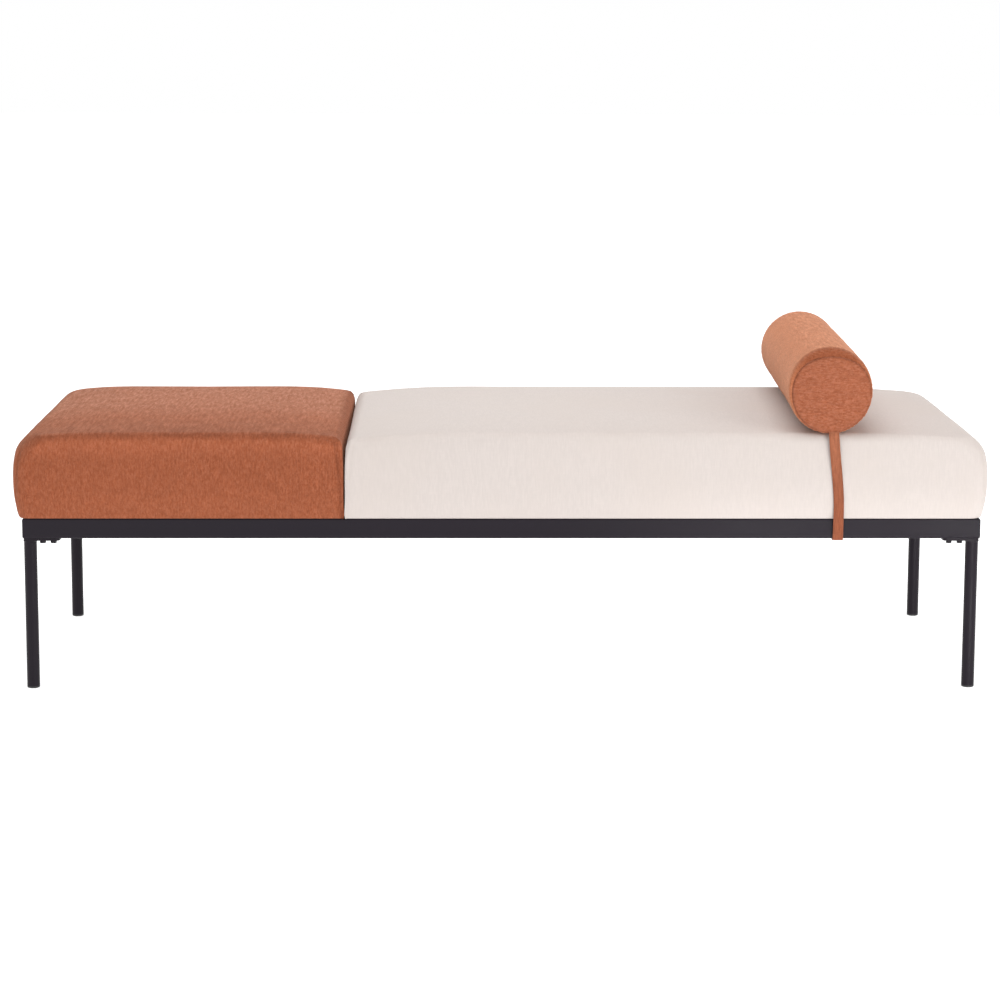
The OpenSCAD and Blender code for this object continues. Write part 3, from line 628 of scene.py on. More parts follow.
def pad_shape(x0, x1, ends, fine=0.0045, coarse=0.0105):
    """Closed box of quads in the pad's form. ends lists, for the left and the right end: tuck at the base, droop of the top, length and
    power of the droop, radius of the top edge, radius of the plan corners, lean of the upper side, radius of the plan corners at the top. Returns vertices, faces and kinds."""
    X = steps(x1 - x0, fine, coarse, 0.06) + x0
    Y = steps(2 * HALF_Y, fine, coarse, 0.06) - HALF_Y
    Z = np.concatenate([np.linspace(Z0, Z_EDGE - 0.042, 20), np.linspace(Z_EDGE - 0.0375, Z_EDGE, 10)])
    # lines of the mesh at the inner edge of the fold under the board
    for arr, lo, hi, tl, th in ((X, x0, x1, max(ends[0][0], 0.003), max(ends[1][0], 0.003)), (Y, -HALF_Y, HALF_Y, 0.011, 0.011)):
        for target in (lo + tl + FOLD, lo + tl + FOLD + 0.0012, hi - th - FOLD, hi - th - FOLD - 0.0012):
            arr[np.argmin(np.abs(arr - target))] = target
        arr.sort()
    nx, ny, nz = len(X), len(Y), len(Z)
    index = {}
    pts = []

    def vid(i, j, k):
        key = (i, j, k)
        if key not in index:
            index[key] = len(pts)
            pts.append((X[i], Y[j], Z[k], i, j, k))
        return index[key]

    faces = []
    for i in range(nx - 1):
        for j in range(ny - 1):
            faces.append((vid(i, j, nz - 1), vid(i + 1, j, nz - 1), vid(i + 1, j + 1, nz - 1), vid(i, j + 1, nz - 1)))
            faces.append((vid(i, j, 0), vid(i, j + 1, 0), vid(i + 1, j + 1, 0), vid(i + 1, j, 0)))
    for i in range(nx - 1):
        for k in range(nz - 1):
            faces.append((vid(i, 0, k), vid(i + 1, 0, k), vid(i + 1, 0, k + 1), vid(i, 0, k + 1)))
            faces.append((vid(i, ny - 1, k), vid(i, ny - 1, k + 1), vid(i + 1, ny - 1, k + 1), vid(i + 1, ny - 1, k)))
    for j in range(ny - 1):
        for k in range(nz - 1):
            faces.append((vid(0, j, k), vid(0, j, k + 1), vid(0, j + 1, k + 1), vid(0, j + 1, k)))
            faces.append((vid(nx - 1, j, k), vid(nx - 1, j + 1, k), vid(nx - 1, j + 1, k + 1), vid(nx - 1, j, k + 1)))
    p = np.array(pts)
    box = p[:, :3].copy()
    kind = np.where(p[:, 5] == 0, -1, np.where(p[:, 5] == nz - 1, 1, 0))  # -1 bottom, 0 side, 1 top
    c = np.array([(x0 + x1) / 2, 0.0])
    half = np.array([(x1 - x0) / 2, HALF_Y])
    xy = box[:, :2] - c
    sg = np.where(xy < 0, -1.0, 1.0)
    a = np.abs(xy)
    e = np.array(ends)[np.where(sg[:, 0] < 0, 0, 1)]
    # plan corners, rounder towards the top
    rc = e[:, 5:6] + (e[:, 7:8] - e[:, 5:6]) * smooth01((box[:, 2:3] - 0.43) / 0.055)
    q = a - (half - rc)
    both = (q > 0).all(axis=1)
    m = q[both]
    ln = np.linalg.norm(m, axis=1)
    m = m * (np.max(m, axis=1) / np.maximum(ln, 1e-12))[:, None]
    a[both] = (half - rc)[both] + m
    q = a - (half - rc)
    qp = np.maximum(q, 0)
    lq = np.linalg.norm(qp, axis=1)
    inset = rc[:, 0] - lq - np.minimum(np.max(q, axis=1), 0)
    n = np.zeros_like(a)
    edge = lq > 1e-9
    n[edge] = qp[edge] / lq[edge][:, None]
    inner = ~edge
    ax = np.argmax(q, axis=1)
    n[inner, ax[inner]] = 1.0
    # top edge
    # where the two pads meet they press together at the back and part a little at the front
    joint = (e[:, 0] < 0.002) * smooth01((box[:, 1] + 0.10) / 0.35)
    r = (0.020 + (e[:, 4] - 0.020) * n[:, 0] ** 2) * (1 + 0.30 * joint * n[:, 0] ** 2)
    z = box[:, 2].copy()
    zeta = Z_EDGE - z
    ua, ub = np.maximum(r - inset, 0), np.maximum(r - zeta, 0)
    zone = (kind >= 0) & (ua > 0) & (ub > 0)
    lu = np.sqrt(ua ** 2 + ub ** 2)
    k2 = np.where(zone, np.maximum(ua, ub) / np.maximum(lu, 1e-12), 1.0)
    new_inset = np.where(zone, r - ua * k2, inset)
    z = np.where(zone, Z_EDGE - (r - ub * k2), z)
    a = a - n * (new_inset - inset)[:, None]
    xy = a * sg + c
    # crown over the depth, droop at the ends
    dy = HALF_Y - np.abs(xy[:, 1])
    down_y = 0.0065 * (1 - np.clip((dy - 0.018) / (HALF_Y - 0.018), 0, 1)) ** 2.6
    down_x = np.zeros(len(xy))
    for d, k in zip((xy[:, 0] - x0, x1 - xy[:, 0]), ends):
        u = np.clip((d - 0.01) / k[2], 0, 1)
        down_x = down_x + k[1] * (1 - u) ** k[3]
    top = Z_TOP - np.sqrt(down_y ** 2 + down_x ** 2)
    z = Z0 + (z - Z0) * (top - Z0) / (Z_EDGE - Z0)
    # lean of the sides
    tl, tr = max(ends[0][0], 0.003), max(ends[1][0], 0.003)
    in_x, in_y = side_in(z, e[:, 0], e[:, 6] * (1 - 0.9 * joint)), side_in(z, 0.011, 0.005)
    fade = 1 - smooth01(new_inset / 0.055)
    # round corners lean in along their own direction, the tight ones at the joint follow both faces in full
    pull = n * (n[:, 0] ** 2 * in_x + n[:, 1] ** 2 * in_y)[:, None]
    tight = np.column_stack([in_x * smooth01(n[:, 0] / 0.5), in_y * smooth01(n[:, 1] / 0.5)])
    pull = np.where((e[:, 0] < 0.002)[:, None], tight, pull)
    xy = xy - sg * pull * fade[:, None]
    # underside: the fold lies on the frame, the middle is a little higher
    ox = np.minimum(box[:, 0] - x0 - tl, x1 - tr - box[:, 0])
    oy = HALF_Y - 0.011 - np.abs(box[:, 1])
    deep = (kind == -1) & (np.minimum(ox, oy) > FOLD + 0.0006)
    under = kind == -1
    z = np.where(deep, Z0 + 0.0016, np.where(under, Z0, z))
    co = np.column_stack([xy, z])
    return co, faces, kind, new_inset, n * sg


def seam_groove(co, nrm, x0, x1, depths, width=0.0022):
    """Corner seams on the front and back faces. depths = (left, right)."""
    out = np.zeros(len(co))
    x, y, z = co.T
    for xe, sgn, depth in ((x0, 1.0, depths[0]), (x1, -1.0, depths[1])):
        t = np.clip((z - Z0) / 0.145, 0, 1)
        line = xe + sgn * (0.0055 + 0.013 * t ** 1.7)
        on_face = (np.abs(nrm[:, 1]) > 0.55) & (z < 0.470)
        out += np.where(on_face, np.exp(-(np.abs(x - line) / width) ** 2), 0) * depth * smooth01((0.474 - z) / 0.008)
        # the fabric is drawn in a little between the seam and the end of the pad
        strip = smooth01(((line - x) * sgn) / 0.002) * on_face
        out += strip * depth * 0.35
    return out


def make_pad(name, x0, x1, ends, material, seed, lump, slack, seams, coarse):
    start_in = 0.0010
    co, faces, kind, inset, nxy = pad_shape(x0, x1, ends, coarse=coarse)
    pad = new_mesh(name, co, faces, material)
    nrm = normals(pad)
    free = smooth01((co[:, 2] - Z0 - 0.008) / 0.02)
    free[kind == -1] = 0
    set_coords(pad, co - nrm * (start_in * free)[:, None])
    pinned = (kind == -1) | (co[:, 2] < Z0 + 0.007)
    # the foam backs the fabric most along its edges and corners
    hard = np.clip((0.035 - np.minimum(np.minimum(co[:, 0] - x0, x1 - co[:, 0]), HALF_Y - np.abs(co[:, 1]))) / 0.035, 0, 1)
    backing = 0.55 + 0.30 * hard * smooth01((co[:, 2] - 0.43) / 0.04) + 0.15 * (np.abs(nrm[:, 2]) < 0.5)
    moved = inflate(pad, pinned, backing, 3.0, shrink=-slack)
    set_coords(pad, follow(co, nrm, moved, 0.0010, 0.0004, 0.0012))
    subdivide(pad, 1)
    co = coords(pad)
    nrm = normals(pad)
    x, y, z = co.T
    # soft unevenness of foam and wadding
    side = z > Z0 + 0.004
    dist = np.minimum(np.minimum(x - x0, x1 - x), HALF_Y - np.abs(y))
    amp = lump * (0.45 + 0.55 * smooth01(dist / 0.09)) * smooth01((z - Z0) / 0.05)
    co = co + nrm * (amp * (0.7 * field(co, 6.5, seed) + 0.35 * field(co, 17.0, seed + 5)))[:, None]
    # pull marks above the staples
    edge = np.exp(-((z - Z0 - 0.006) / 0.013) ** 2) * side
    run = np.where(np.abs(nrm[:, 1]) > 0.6, x, y)
    marks = 0.5 + 0.5 * np.sin(run * 2 * math.pi / 0.058 + 2.2 * field(np.column_stack([run, run * 0, run * 0]), 9.0, seed + 11))
    co = co - nrm * (edge * 0.0012 * marks)[:, None]
    groove = seam_groove(co, nrm, x0, x1, seams)
    co = co - nrm * groove[:, None]
    # puckers where the corner seams meet the top edge
    for xe, sgn, depth in ((x0, 1, seams[0]), (x1, -1, seams[1])):
        for sy in (-1, 1):
            px, py, pz = xe + sgn * 0.019, sy * (HALF_Y - 0.004), 0.472
            dx, dz = co[:, 0] - px, co[:, 2] - pz
            near = np.abs(co[:, 1] - py) < 0.02
            spot = np.exp(-(dx ** 2 + dz ** 2) / 0.0045 ** 2)
            arm = np.exp(-((dz - 0.35 * dx * sgn) / 0.0016) ** 2) * np.exp(-((dx * sgn - 0.010) / 0.009) ** 2)
            co = co - nrm * ((spot * 1.0 + arm * 0.6) * depth * near)[:, None]
    co[:, 0] = np.clip(co[:, 0], x0, x1)
    co[:, 1] = np.clip(co[:, 1], -HALF_Y - 0.0002, HALF_Y + 0.0002)
    over = co[:, 2] - (Z_TOP - 0.0012)
    co[:, 2] = np.where(over > 0, Z_TOP - 0.0012 + 0.0012 * np.tanh(over / 0.0012), co[:, 2])
    flat = z < Z0 + 0.0018
    co[flat, 2] = z[flat]
    set_coords(pad, co)
    nrm = normals(pad)
    up = nrm[:, 2]
    # painted shade: 0 on the faces, 1 where the fabric turns over the top edge; the top near the front edge and the
    # seam grooves are shaded too
    tilt = np.degrees(np.arccos(np.clip(up, -1, 1)))
    band = 0.76 * np.exp(-((tilt - 38) / 22) ** 2) * smooth01((co[:, 2] - 0.44) / 0.02)
    inner = (0.38 * np.exp(-((y + HALF_Y) / 0.15) ** 2) + 0.30 * np.exp(-((y + HALF_Y) / 0.05) ** 2)) * smooth01((up - 0.7) / 0.3)
    patch = 0.75 + 0.35 * field(co, 28.0, seed + 21)
    add_attr(pad, "painted_shade", np.clip(np.maximum(band, inner) * patch + 0.55 * groove / max(max(seams), 1e-6), 0, 1))
    # painted sheen: paler towards the back of the top faces
    add_attr(pad, "brushing_and_painted_sheen", smooth01((y + 0.22) / 0.30) * smooth01((up - 0.80) / 0.18))
    # painted highlight on the upper front face just under the top edge
    add_attr(pad, "painted_highlight", 0.72 * np.exp(-((tilt - 80) / 11) ** 2) * smooth01((co[:, 2] - 0.435) / 0.03) * patch)
    return pad


RUST_X = (-0.914, -0.2962)
BEIGE_X = (-0.2958, 0.911)
RUST_ENDS = ((0.011, 0.0157, 0.200, 2.0, 0.033, 0.028, 0.0056, 0.062), (0.0004, 0.0128, 0.150, 1.45, 0.020, 0.0035, 0.0030, 0.011))
BEIGE_ENDS = ((0.0004, 0.0172, 0.238, 1.5, 0.0200, 0.0035, 0.0030, 0.011), (0.011, 0.0172, 0.250, 1.16, 0.0356, 0.034, 0.0057, 0.066))
rust_pad = make_pad("rust_seat_pad", *RUST_X, RUST_ENDS, M["rust"], 3.7, 0.0018, 0.006, (0.0011, 0.0015), 0.0105)
beige_pad = make_pad("beige_seat_pad", *BEIGE_X, BEIGE_ENDS, M["beige"], 8.2, 0.0010, 0.003, (0.0005, 0.0006), 0.0165)
for pad, colour in ((rust_pad, "rust"), (beige_pad, "beige")):
    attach(pad, "seat")
    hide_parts(colour + "_cover", colour + "_foam", colour + "_wadding")


# ---------------------------------------------------------------- dust covers

def dust_cover(name, x0, x1, tl, tr, seed, node):
    a, b = x0 + tl + FOLD + 0.0004, x1 - tr - FOLD - 0.0004
    w = HALF_Y - 0.011 - FOLD - 0.0004
    nx, ny = int((b - a) / 0.012), int(2 * w / 0.012)
    xs, ys = np.linspace(a, b, nx + 1), np.linspace(-w, w, ny + 1)
    gx, gy = np.meshgrid(xs, ys, indexing="ij")
    flat = np.column_stack([gx.ravel(), gy.ravel(), np.zeros(gx.size)])
    edge = np.minimum(np.minimum(flat[:, 0] - a, b - flat[:, 0]), w - np.abs(flat[:, 1]))
    wrinkle = 0.00022 * smooth01(edge / 0.05) * field(flat * (1, 2.2, 1), 16.0, seed)
    low = 0.32648 + wrinkle
    n = len(flat)
    verts = np.vstack([np.column_stack([flat[:, :2], low]), np.column_stack([flat[:, :2], low + 0.0005])])
    faces = []
    for i in range(nx):
        for j in range(ny):
            p, q = i * (ny + 1) + j, (i + 1) * (ny + 1) + j
            faces.append((p, p + 1, q + 1, q))
            faces.append((n + p, n + q, n + q + 1, n + p + 1))
    rim = [i * (ny + 1) for i in range(nx + 1)] + [nx * (ny + 1) + j for j in range(1, ny + 1)]
    rim += [i * (ny + 1) + ny for i in range(nx - 1, -1, -1)] + [j for j in range(ny - 1, 0, -1)]
    for i in range(len(rim)):
        p, q = rim[i], rim[(i + 1) % len(rim)]
        faces.append((p, q, n + q, n + p))
    ob = new_mesh(name, verts, faces, M["dust"])
    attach(ob, "seat")
    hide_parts(node)
    return ob


dust_cover("rust_dust_sheet", *RUST_X, 0.011, 0.003, 4.4, "rust_dust_cover")
dust_cover("beige_dust_sheet", *BEIGE_X, 0.003, 0.011, 6.1, "beige_dust_cover")


# ---------------------------------------------------------------- bolster

BX, BY, BR, BL, YAW = 0.6185, -0.016, 0.0785, 0.646, math.radians(1.85)
BZ = Z_TOP + 0.0003 + BR
B_WORLD = Matrix.Translation((BX, BY, BZ)) @ Matrix.Rotation(-YAW, 4, "Z")


def end_ring(t, front, th):
    """Section of the tube at a distance t from its end seam: the fabric turns in over the rim, most at the top, where the panel sits low."""
    u = np.clip(t / 0.021, 0, 1)
    k = (1 - (1 - u) ** 2.0) ** (1 / 3.3) if t > 0 else 0.0
    r_seam = 0.0746
    drop, shift, flat = (0.0042, 0.0024, 0.0088) if front else (0.003, 0.0, 0.004)
    r = r_seam - flat * np.maximum(np.sin(th), 0) ** 3.2
    x = r * np.cos(th) + shift
    z = r * np.sin(th) - drop
    # the seam never stands outside the tube
    rad = np.hypot(x, z)
    f = np.minimum(1.0, (BR - 0.0012) / rad)
    x, z = x * f, z * f
    return x + (BR * np.cos(th) - x) * k, z + (BR * np.sin(th) - z) * k


def tube_rows(ys, th):
    rows = []
    for y in ys:
        t = min(y, BL - y)
        x, z = end_ring(t, y < BL / 2, th)
        rows.append(np.column_stack([x, np.full(len(th), y - BL / 2), z]))
    return rows


def grid_faces(n_rows, na):
    i, j = np.meshgrid(np.arange(n_rows - 1), np.arange(na), indexing="ij")
    a = i * na + j
    b = i * na + (j + 1) % na
    return np.stack([a, b, b + na, a + na], axis=-1).reshape(-1, 4)


def turned_in(row, sign):
    """The seam allowance behind a panel, which closes the form."""
    out = []
    for f, d in ((0.985, 0.0012), (0.95, 0.0022), (0.8, 0.003), (0.5, 0.003), (0.2, 0.003)):
        p = row.copy()
        mid = row.mean(axis=0)
        p[:, 0] = mid[0] + (row[:, 0] - mid[0]) * f
        p[:, 2] = mid[2] + (row[:, 2] - mid[2]) * f
        p[:, 1] = row[:, 1] + sign * d
        out.append(p)
    return out


def bolster_tube():
    ts = [0.0, 0.0001, 0.0004, 0.001, 0.0018, 0.003, 0.0047, 0.007, 0.010, 0.0135, 0.0175, 0.022, 0.0275, 0.035, 0.043]
    ys = np.array(ts + list(np.linspace(0.052, BL - 0.052, 76)) + [BL - t for t in reversed(ts)])
    na = 168
    th = np.arange(na) * 2 * math.pi / na
    shift = np.zeros((len(ys), na, 3))
    start = np.array(tube_rows(ys, th))
    sim = new_mesh("bolster_sim", start.reshape(-1, 3), grid_faces(len(ys), na))
    edge = np.repeat(np.minimum(ys, BL - ys) < 0.004, na)
    flat = start.reshape(-1, 3)
    moved = inflate(sim, edge, np.full(len(flat), 0.5), 3.0, frames=16, shrink=-0.004)
    shift = (follow(flat, normals(sim), moved, 0.0007, 0.0004, 0.0008) - flat).reshape(len(ys), na, 3)
    for k in range(6):
        shift = shift * 0.5 + (np.roll(shift, 1, axis=1) + np.roll(shift, -1, axis=1)) * 0.25
        shift[1:-1] = shift[1:-1] * 0.5 + (shift[2:] + shift[:-2]) * 0.25
    bpy.data.objects.remove(sim)
    # twice as fine in both directions, with the displacement carried over
    fine_ys = np.sort(np.concatenate([ys, (ys[1:] + ys[:-1]) / 2]))
    th2 = np.arange(2 * na) * math.pi / na
    at = np.interp(fine_ys, ys, np.arange(len(ys)))
    lo = np.minimum(at.astype(int), len(ys) - 2)
    g = (at - lo)[:, None, None]
    s1 = shift[lo] * (1 - g) + shift[lo + 1] * g
    s2 = np.empty((len(fine_ys), 2 * na, 3))
    s2[:, 0::2] = s1
    s2[:, 1::2] = (s1 + np.roll(s1, -1, axis=1)) / 2
    body = np.array(tube_rows(fine_ys, th2)) + s2
    rows = turned_in(body[0], 1)[::-1] + list(body) + turned_in(body[-1], -1)
    n = 2 * na
    verts = np.vstack(rows)
    faces = [tuple(f) for f in grid_faces(len(rows), n)]
    faces.append(tuple(range(n))[::-1])
    faces.append(tuple((len(rows) - 1) * n + j for j in range(n)))
    return new_mesh("bolster_cover", verts, faces, M["tube"])


def rest_on_pad(co, matrix):
    """The bolster sags a little, more where its front end hangs over the rounded edge, and goes flat where it meets the pad."""
    w = co.copy()
    yw = co[:, 1] * math.cos(YAW) + matrix.translation.y
    w[:, 2] -= 0.0022 + 0.0050 * smooth01((-yw - 0.20) / 0.135) * smooth01((0.055 - co[:, 2]) / 0.12)
    low = crown(yw) + 0.0003 - matrix.translation.z
    k = 0.003
    d = (w[:, 2] - low) / k
    lifted = np.where(d < 3, np.log1p(np.exp(np.clip(d, -30, 30))) * k + low, w[:, 2])
    w[:, 2] = np.maximum(lifted, low)
    return w


def finish_bolster_piece(ob, seed, lump, seam_y=()):
    co = coords(ob)
    nrm = normals(ob)
    inside = np.abs(co[:, 1]) < BL / 2 - 0.02
    amp = lump * np.where(inside, 1.0, 0.35)
    co = co + nrm * (amp * (0.6 * field(co, 9.0, seed) + 0.4 * field(co, 24.0, seed + 2)))[:, None]
    return co, nrm


tube = bolster_tube()
co, nrm = finish_bolster_piece(tube, 1.9, 0.0011)
ang = np.arctan2(co[:, 2], co[:, 0])
end = BL / 2 - np.abs(co[:, 1])
top_side = smooth01((np.sin(ang) + 0.1) / 0.8)
# gathers that run from the end seams into the tube
gather = np.exp(-end / 0.016) * (end > 0)
wav = np.sin(ang * 41 + 3.0 * np.sin(ang * 5 + np.sign(co[:, 1]))) * 0.5 + np.sin(ang * 67 + 1.3) * 0.3
co = co + nrm * (gather * 0.0005 * wav)[:, None]
# soft folds that follow the rim over the top of the front panel
fold = np.sin((co[:, 2] - 0.3 * np.abs(co[:, 0])) * 1150 + 2.0 * field(co, 30.0, 5.5)) * np.exp(-((end - 0.002) / 0.004) ** 2) * top_side * (co[:, 1] < 0)
co = co + nrm * (fold * 0.0005)[:, None]
# long seam beside the zip
zip_a = -math.radians(35)
arc = (ang - zip_a) * BR
groove = np.exp(-((np.abs(arc) - 0.0095) / 0.0016) ** 2) * (np.abs(co[:, 1]) < 0.245) * 0.0010
groove += np.exp(-(arc / 0.0016) ** 2) * (np.abs(co[:, 1]) >= 0.245) * 0.0011
co = co - nrm * groove[:, None]
radius = np.hypot(co[:, 0], co[:, 2])
co[:, 0] *= np.minimum(1, (BR + 0.0008) / np.maximum(radius, 1e-6))
co[:, 2] *= np.minimum(1, (BR + 0.0008) / np.maximum(radius, 1e-6))
co = rest_on_pad(co, B_WORLD)
set_coords(tube, co)
n2 = normals(tube)
# painted shade: darker where the tube's fabric turns in over the rim, most at the top, and in the groove beside the zip
rim_top = smooth01((np.sin(ang) - 0.2) / 0.7)
painted_shade = (1 - smooth01((end - 0.0085) / 0.010)) * (0.15 + 0.80 * rim_top) + groove / 0.0011 * 0.4
add_attr(tube, "painted_shade", np.clip(painted_shade, 0, 1))
tube.matrix_world = B_WORLD
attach(tube, "bolster")
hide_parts("bolster_tube", "bolster_core", "bolster_wadding")


def end_panel(name, front, node):
    """Round end panel, crowned, with its edge turned into the seam."""
    na = 336
    th = np.arange(na) * 2 * math.pi / na
    rim_x, rim_z = end_ring(0.0, front, th)
    mx, mz = rim_x.mean(), rim_z.mean()
    sign = -1.0 if front else 1.0
    y_seam = sign * BL / 2
    rows = []
    prof = [(0.986, -0.0026), (0.992, -0.0010), (0.990, 0.0004), (0.978, 0.0014), (0.955, 0.0022)]
    for f in np.linspace(0.935, 0.04, 48):
        prof.append((f, 0.0022 + 0.0024 * (1 - (f / 0.935) ** 2.2)))
    for f, h in prof:
        rows.append(np.column_stack([mx + (rim_x - mx) * f, np.full(na, y_seam + sign * h), mz + (rim_z - mz) * f]))
    back = [(0.04, -0.0012), (0.5, -0.0014), (0.93, -0.0024)]
    for f, h in back:
        rows.append(np.column_stack([mx + (rim_x - mx) * f, np.full(na, y_seam + sign * h), mz + (rim_z - mz) * f]))
    verts = np.vstack(rows)
    faces = []
    total = len(rows)
    nf = len(prof)
    for i in range(nf - 1):
        for j in range(na):
            a, b = i * na + j, i * na + (j + 1) % na
            faces.append((a, a + na, b + na, b) if front else (a, b, b + na, a + na))
    centre_f = tuple((nf - 1) * na + j for j in range(na))
    faces.append(centre_f if not front else centre_f[::-1])
    for i in range(nf, total - 1):
        for j in range(na):
            a, b = i * na + j, i * na + (j + 1) % na
            faces.append((a, a + na, b + na, b) if front else (a, b, b + na, a + na))
    centre_b = tuple(nf * na + j for j in range(na))
    faces.append(centre_b[::-1] if not front else centre_b)
    for j in range(na):
        a, b = (total - 1) * na + j, (total - 1) * na + (j + 1) % na
        c, d = (j + 1) % na, j
        faces.append((a, d, c, b) if front else (a, b, c, d))
    ob = new_mesh(name, verts, faces, M["panel"])
    co = coords(ob)
    nrm = normals(ob)
    ang = np.arctan2(co[:, 2] - mz, co[:, 0] - mx)
    rad = np.hypot(co[:, 0] - mx, co[:, 2] - mz)
    at_rim = np.interp(np.mod(ang, 2 * math.pi), np.append(th, 2 * math.pi), np.append(np.hypot(rim_x - mx, rim_z - mz), math.hypot(rim_x[0] - mx, rim_z[0] - mz)))
    inside = at_rim - rad
    face = co[:, 1] * sign > BL / 2 + 0.0008
    rays = np.sin(ang * 37 + 2.0 * np.sin(ang * 3)) * np.exp(-np.maximum(inside, 0) / 0.007)
    soft = 0.0008 * field(co, 21.0, 2.2 if front else 7.7) * smooth01(inside / 0.02)
    co = co + nrm * ((0.0005 * rays + soft) * face)[:, None]
    co = rest_on_pad(co, B_WORLD)
    set_coords(ob, co)
    # painted shade in the seam recess round the panel's rim
    add_attr(ob, "painted_shade", np.clip(np.exp(-(inside / 0.0028) ** 2) * 0.9, 0, 1) * face)
    ob.matrix_world = B_WORLD
    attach(ob, "bolster")
    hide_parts(node)
    return ob


end_panel("bolster_front_panel", True, "bolster_front_end")
end_panel("bolster_rear_panel", False, "bolster_rear_end")


# zip: two woven tapes, a coil of teeth and the slider with its pull
def bolster_frame_at(a, y, r):
    return Vector((r * math.cos(a), y, r * math.sin(a)))


def sweep_strip(name, a0, a1, r, t, y0, y1, n_a, n_y, material):
    verts, faces = [], []
    for layer in (0, 1):
        for i in range(n_y + 1):
            y = y0 + (y1 - y0) * i / n_y
            for j in range(n_a + 1):
                a = a0 + (a1 - a0) * j / n_a
                verts.append(bolster_frame_at(a, y, r + layer * t))
    n = (n_y + 1) * (n_a + 1)
    w = n_a + 1
    for i in range(n_y):
        for j in range(n_a):
            p = i * w + j
            faces.append((p, p + 1, p + w + 1, p + w))
            faces.append((n + p, n + p + w, n + p + w + 1, n + p + 1))
    for i in range(n_y):
        for j in (0, n_a):
            p = i * w + j
            faces.append((p, p + w, n + p + w, n + p) if j == 0 else (p, n + p, n + p + w, p + w))
    for j in range(n_a):
        for i in (0, n_y):
            p = i * w + j
            faces.append((p, n + p, n + p + 1, p + 1) if i == 0 else (p, p + 1, n + p + 1, n + p))
    ob = new_mesh(name, verts, faces, material)
    ob.matrix_world = B_WORLD
    return ob


def zip_piece():
    lift = 0.0002
    tape = sweep_strip("bolster_zip_tape", zip_a - 0.095, zip_a + 0.095, BR - 0.0008 + lift, 0.0013, -0.235, 0.235, 10, 120, M["zip"])
    # coil teeth, alternating left and right
    verts, faces = [], []
    y = -0.232
    k = 0
    while y < 0.232:
        s = 1 if k % 2 == 0 else -1
        for (u, v, w) in ((-1, -1, -1), (1, -1, -1), (1, 1, -1), (-1, 1, -1), (-1, -1, 1), (1, -1, 1), (1, 1, 1), (-1, 1, 1)):
            a = zip_a + (s * 0.55 + u * 1.25) * 0.001 / BR
            verts.append(bolster_frame_at(a, y + v * 0.00045, BR + 0.0011 + w * (0.0008 if abs(u) else 0.001)))
        b = k * 8
        faces += [(b, b + 3, b + 2, b + 1), (b + 4, b + 5, b + 6, b + 7), (b, b + 1, b + 5, b + 4), (b + 1, b + 2, b + 6, b + 5), (b + 2, b + 3, b + 7, b + 6), (b + 3, b, b + 4, b + 7)]
        y += 0.0013
        k += 1
    teeth = new_mesh("bolster_zip_teeth", verts, faces, M["zip"], smooth=False)
    teeth.matrix_world = B_WORLD
    for ob in (tape, teeth):
        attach(ob, "bolster")
    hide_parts("bolster_zip")


zip_piece()


def rounded_plate(outline, t, bevel=0.0004):
    """Vertices and faces of a flat plate with a small bevel: outline is a list of (u, v) about the origin."""
    pts, faces = [], []
    n = len(outline)
    o = np.array(outline, float)
    c = o.mean(axis=0)
    d = o - c
    ln = np.linalg.norm(d, axis=1, keepdims=True)
    inner = o - d / ln * bevel
    for pl, z in ((inner, -t / 2), (o, -t / 2 + bevel), (o, t / 2 - bevel), (inner, t / 2)):
        pts += [(p[0], p[1], z) for p in pl]
    for k in range(3):
        for i in range(n):
            j = (i + 1) % n
            faces.append((k * n + i, k * n + j, (k + 1) * n + j, (k + 1) * n + i))
    faces.append(tuple(range(n))[::-1])
    faces.append(tuple(3 * n + i for i in range(n)))
    return pts, faces


def zip_slider():
    body = [(0.0042 * math.cos(a) * (1.0 if math.sin(a) < 0 else 0.85), 0.0056 * math.sin(a)) for a in np.linspace(0, 2 * math.pi, 28, endpoint=False)]
    parts = []
    v, f = rounded_plate(body, 0.0026, 0.0006)
    parts.append((v, f, 0.0023, 0.218))
    pull = [(0.0026 * math.cos(a) * (1.0 + 0.25 * math.sin(a)), 0.0115 * math.sin(a)) for a in np.linspace(0, 2 * math.pi, 32, endpoint=False)]
    v2, f2 = rounded_plate(pull, 0.0012, 0.0003)
    parts.append((v2, f2, 0.0046, 0.2325))
    verts, faces = [], []
    rad = Vector((math.cos(zip_a), 0, math.sin(zip_a)))
    tan = Vector((-math.sin(zip_a), 0, math.cos(zip_a)))
    for v, f, h, y in parts:
        b = len(verts)
        for p in v:
            verts.append(rad * (BR + h + p[2]) + tan * p[0] + Vector((0, y + p[1], 0)))
        faces += [tuple(b + i for i in g) for g in f]
    ob = new_mesh("bolster_zip_pull", verts, faces, M["antique"])
    m = ob.modifiers.new("edge", "EDGE_SPLIT")
    m.split_angle = math.radians(40)
    apply_modifiers(ob)
    ob.matrix_world = B_WORLD
    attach(ob, "bolster")
    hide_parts("bolster_zip_slider")


zip_slider()


# ---------------------------------------------------------------- strap

def catmull(p, n):
    p = [np.array(q, float) for q in p]
    out = []
    for i in range(len(p) - 1):
        a, b, c, d = p[max(i - 1, 0)], p[i], p[i + 1], p[min(i + 2, len(p) - 1)]
        for k in range(n):
            u = k / n
            out.append(0.5 * (2 * b + (c - a) * u + (2 * a - 5 * b + 4 * c - d) * u * u + (3 * b - a - 3 * c + d) * u ** 3))
    out.append(p[-1])
    return np.array(out)


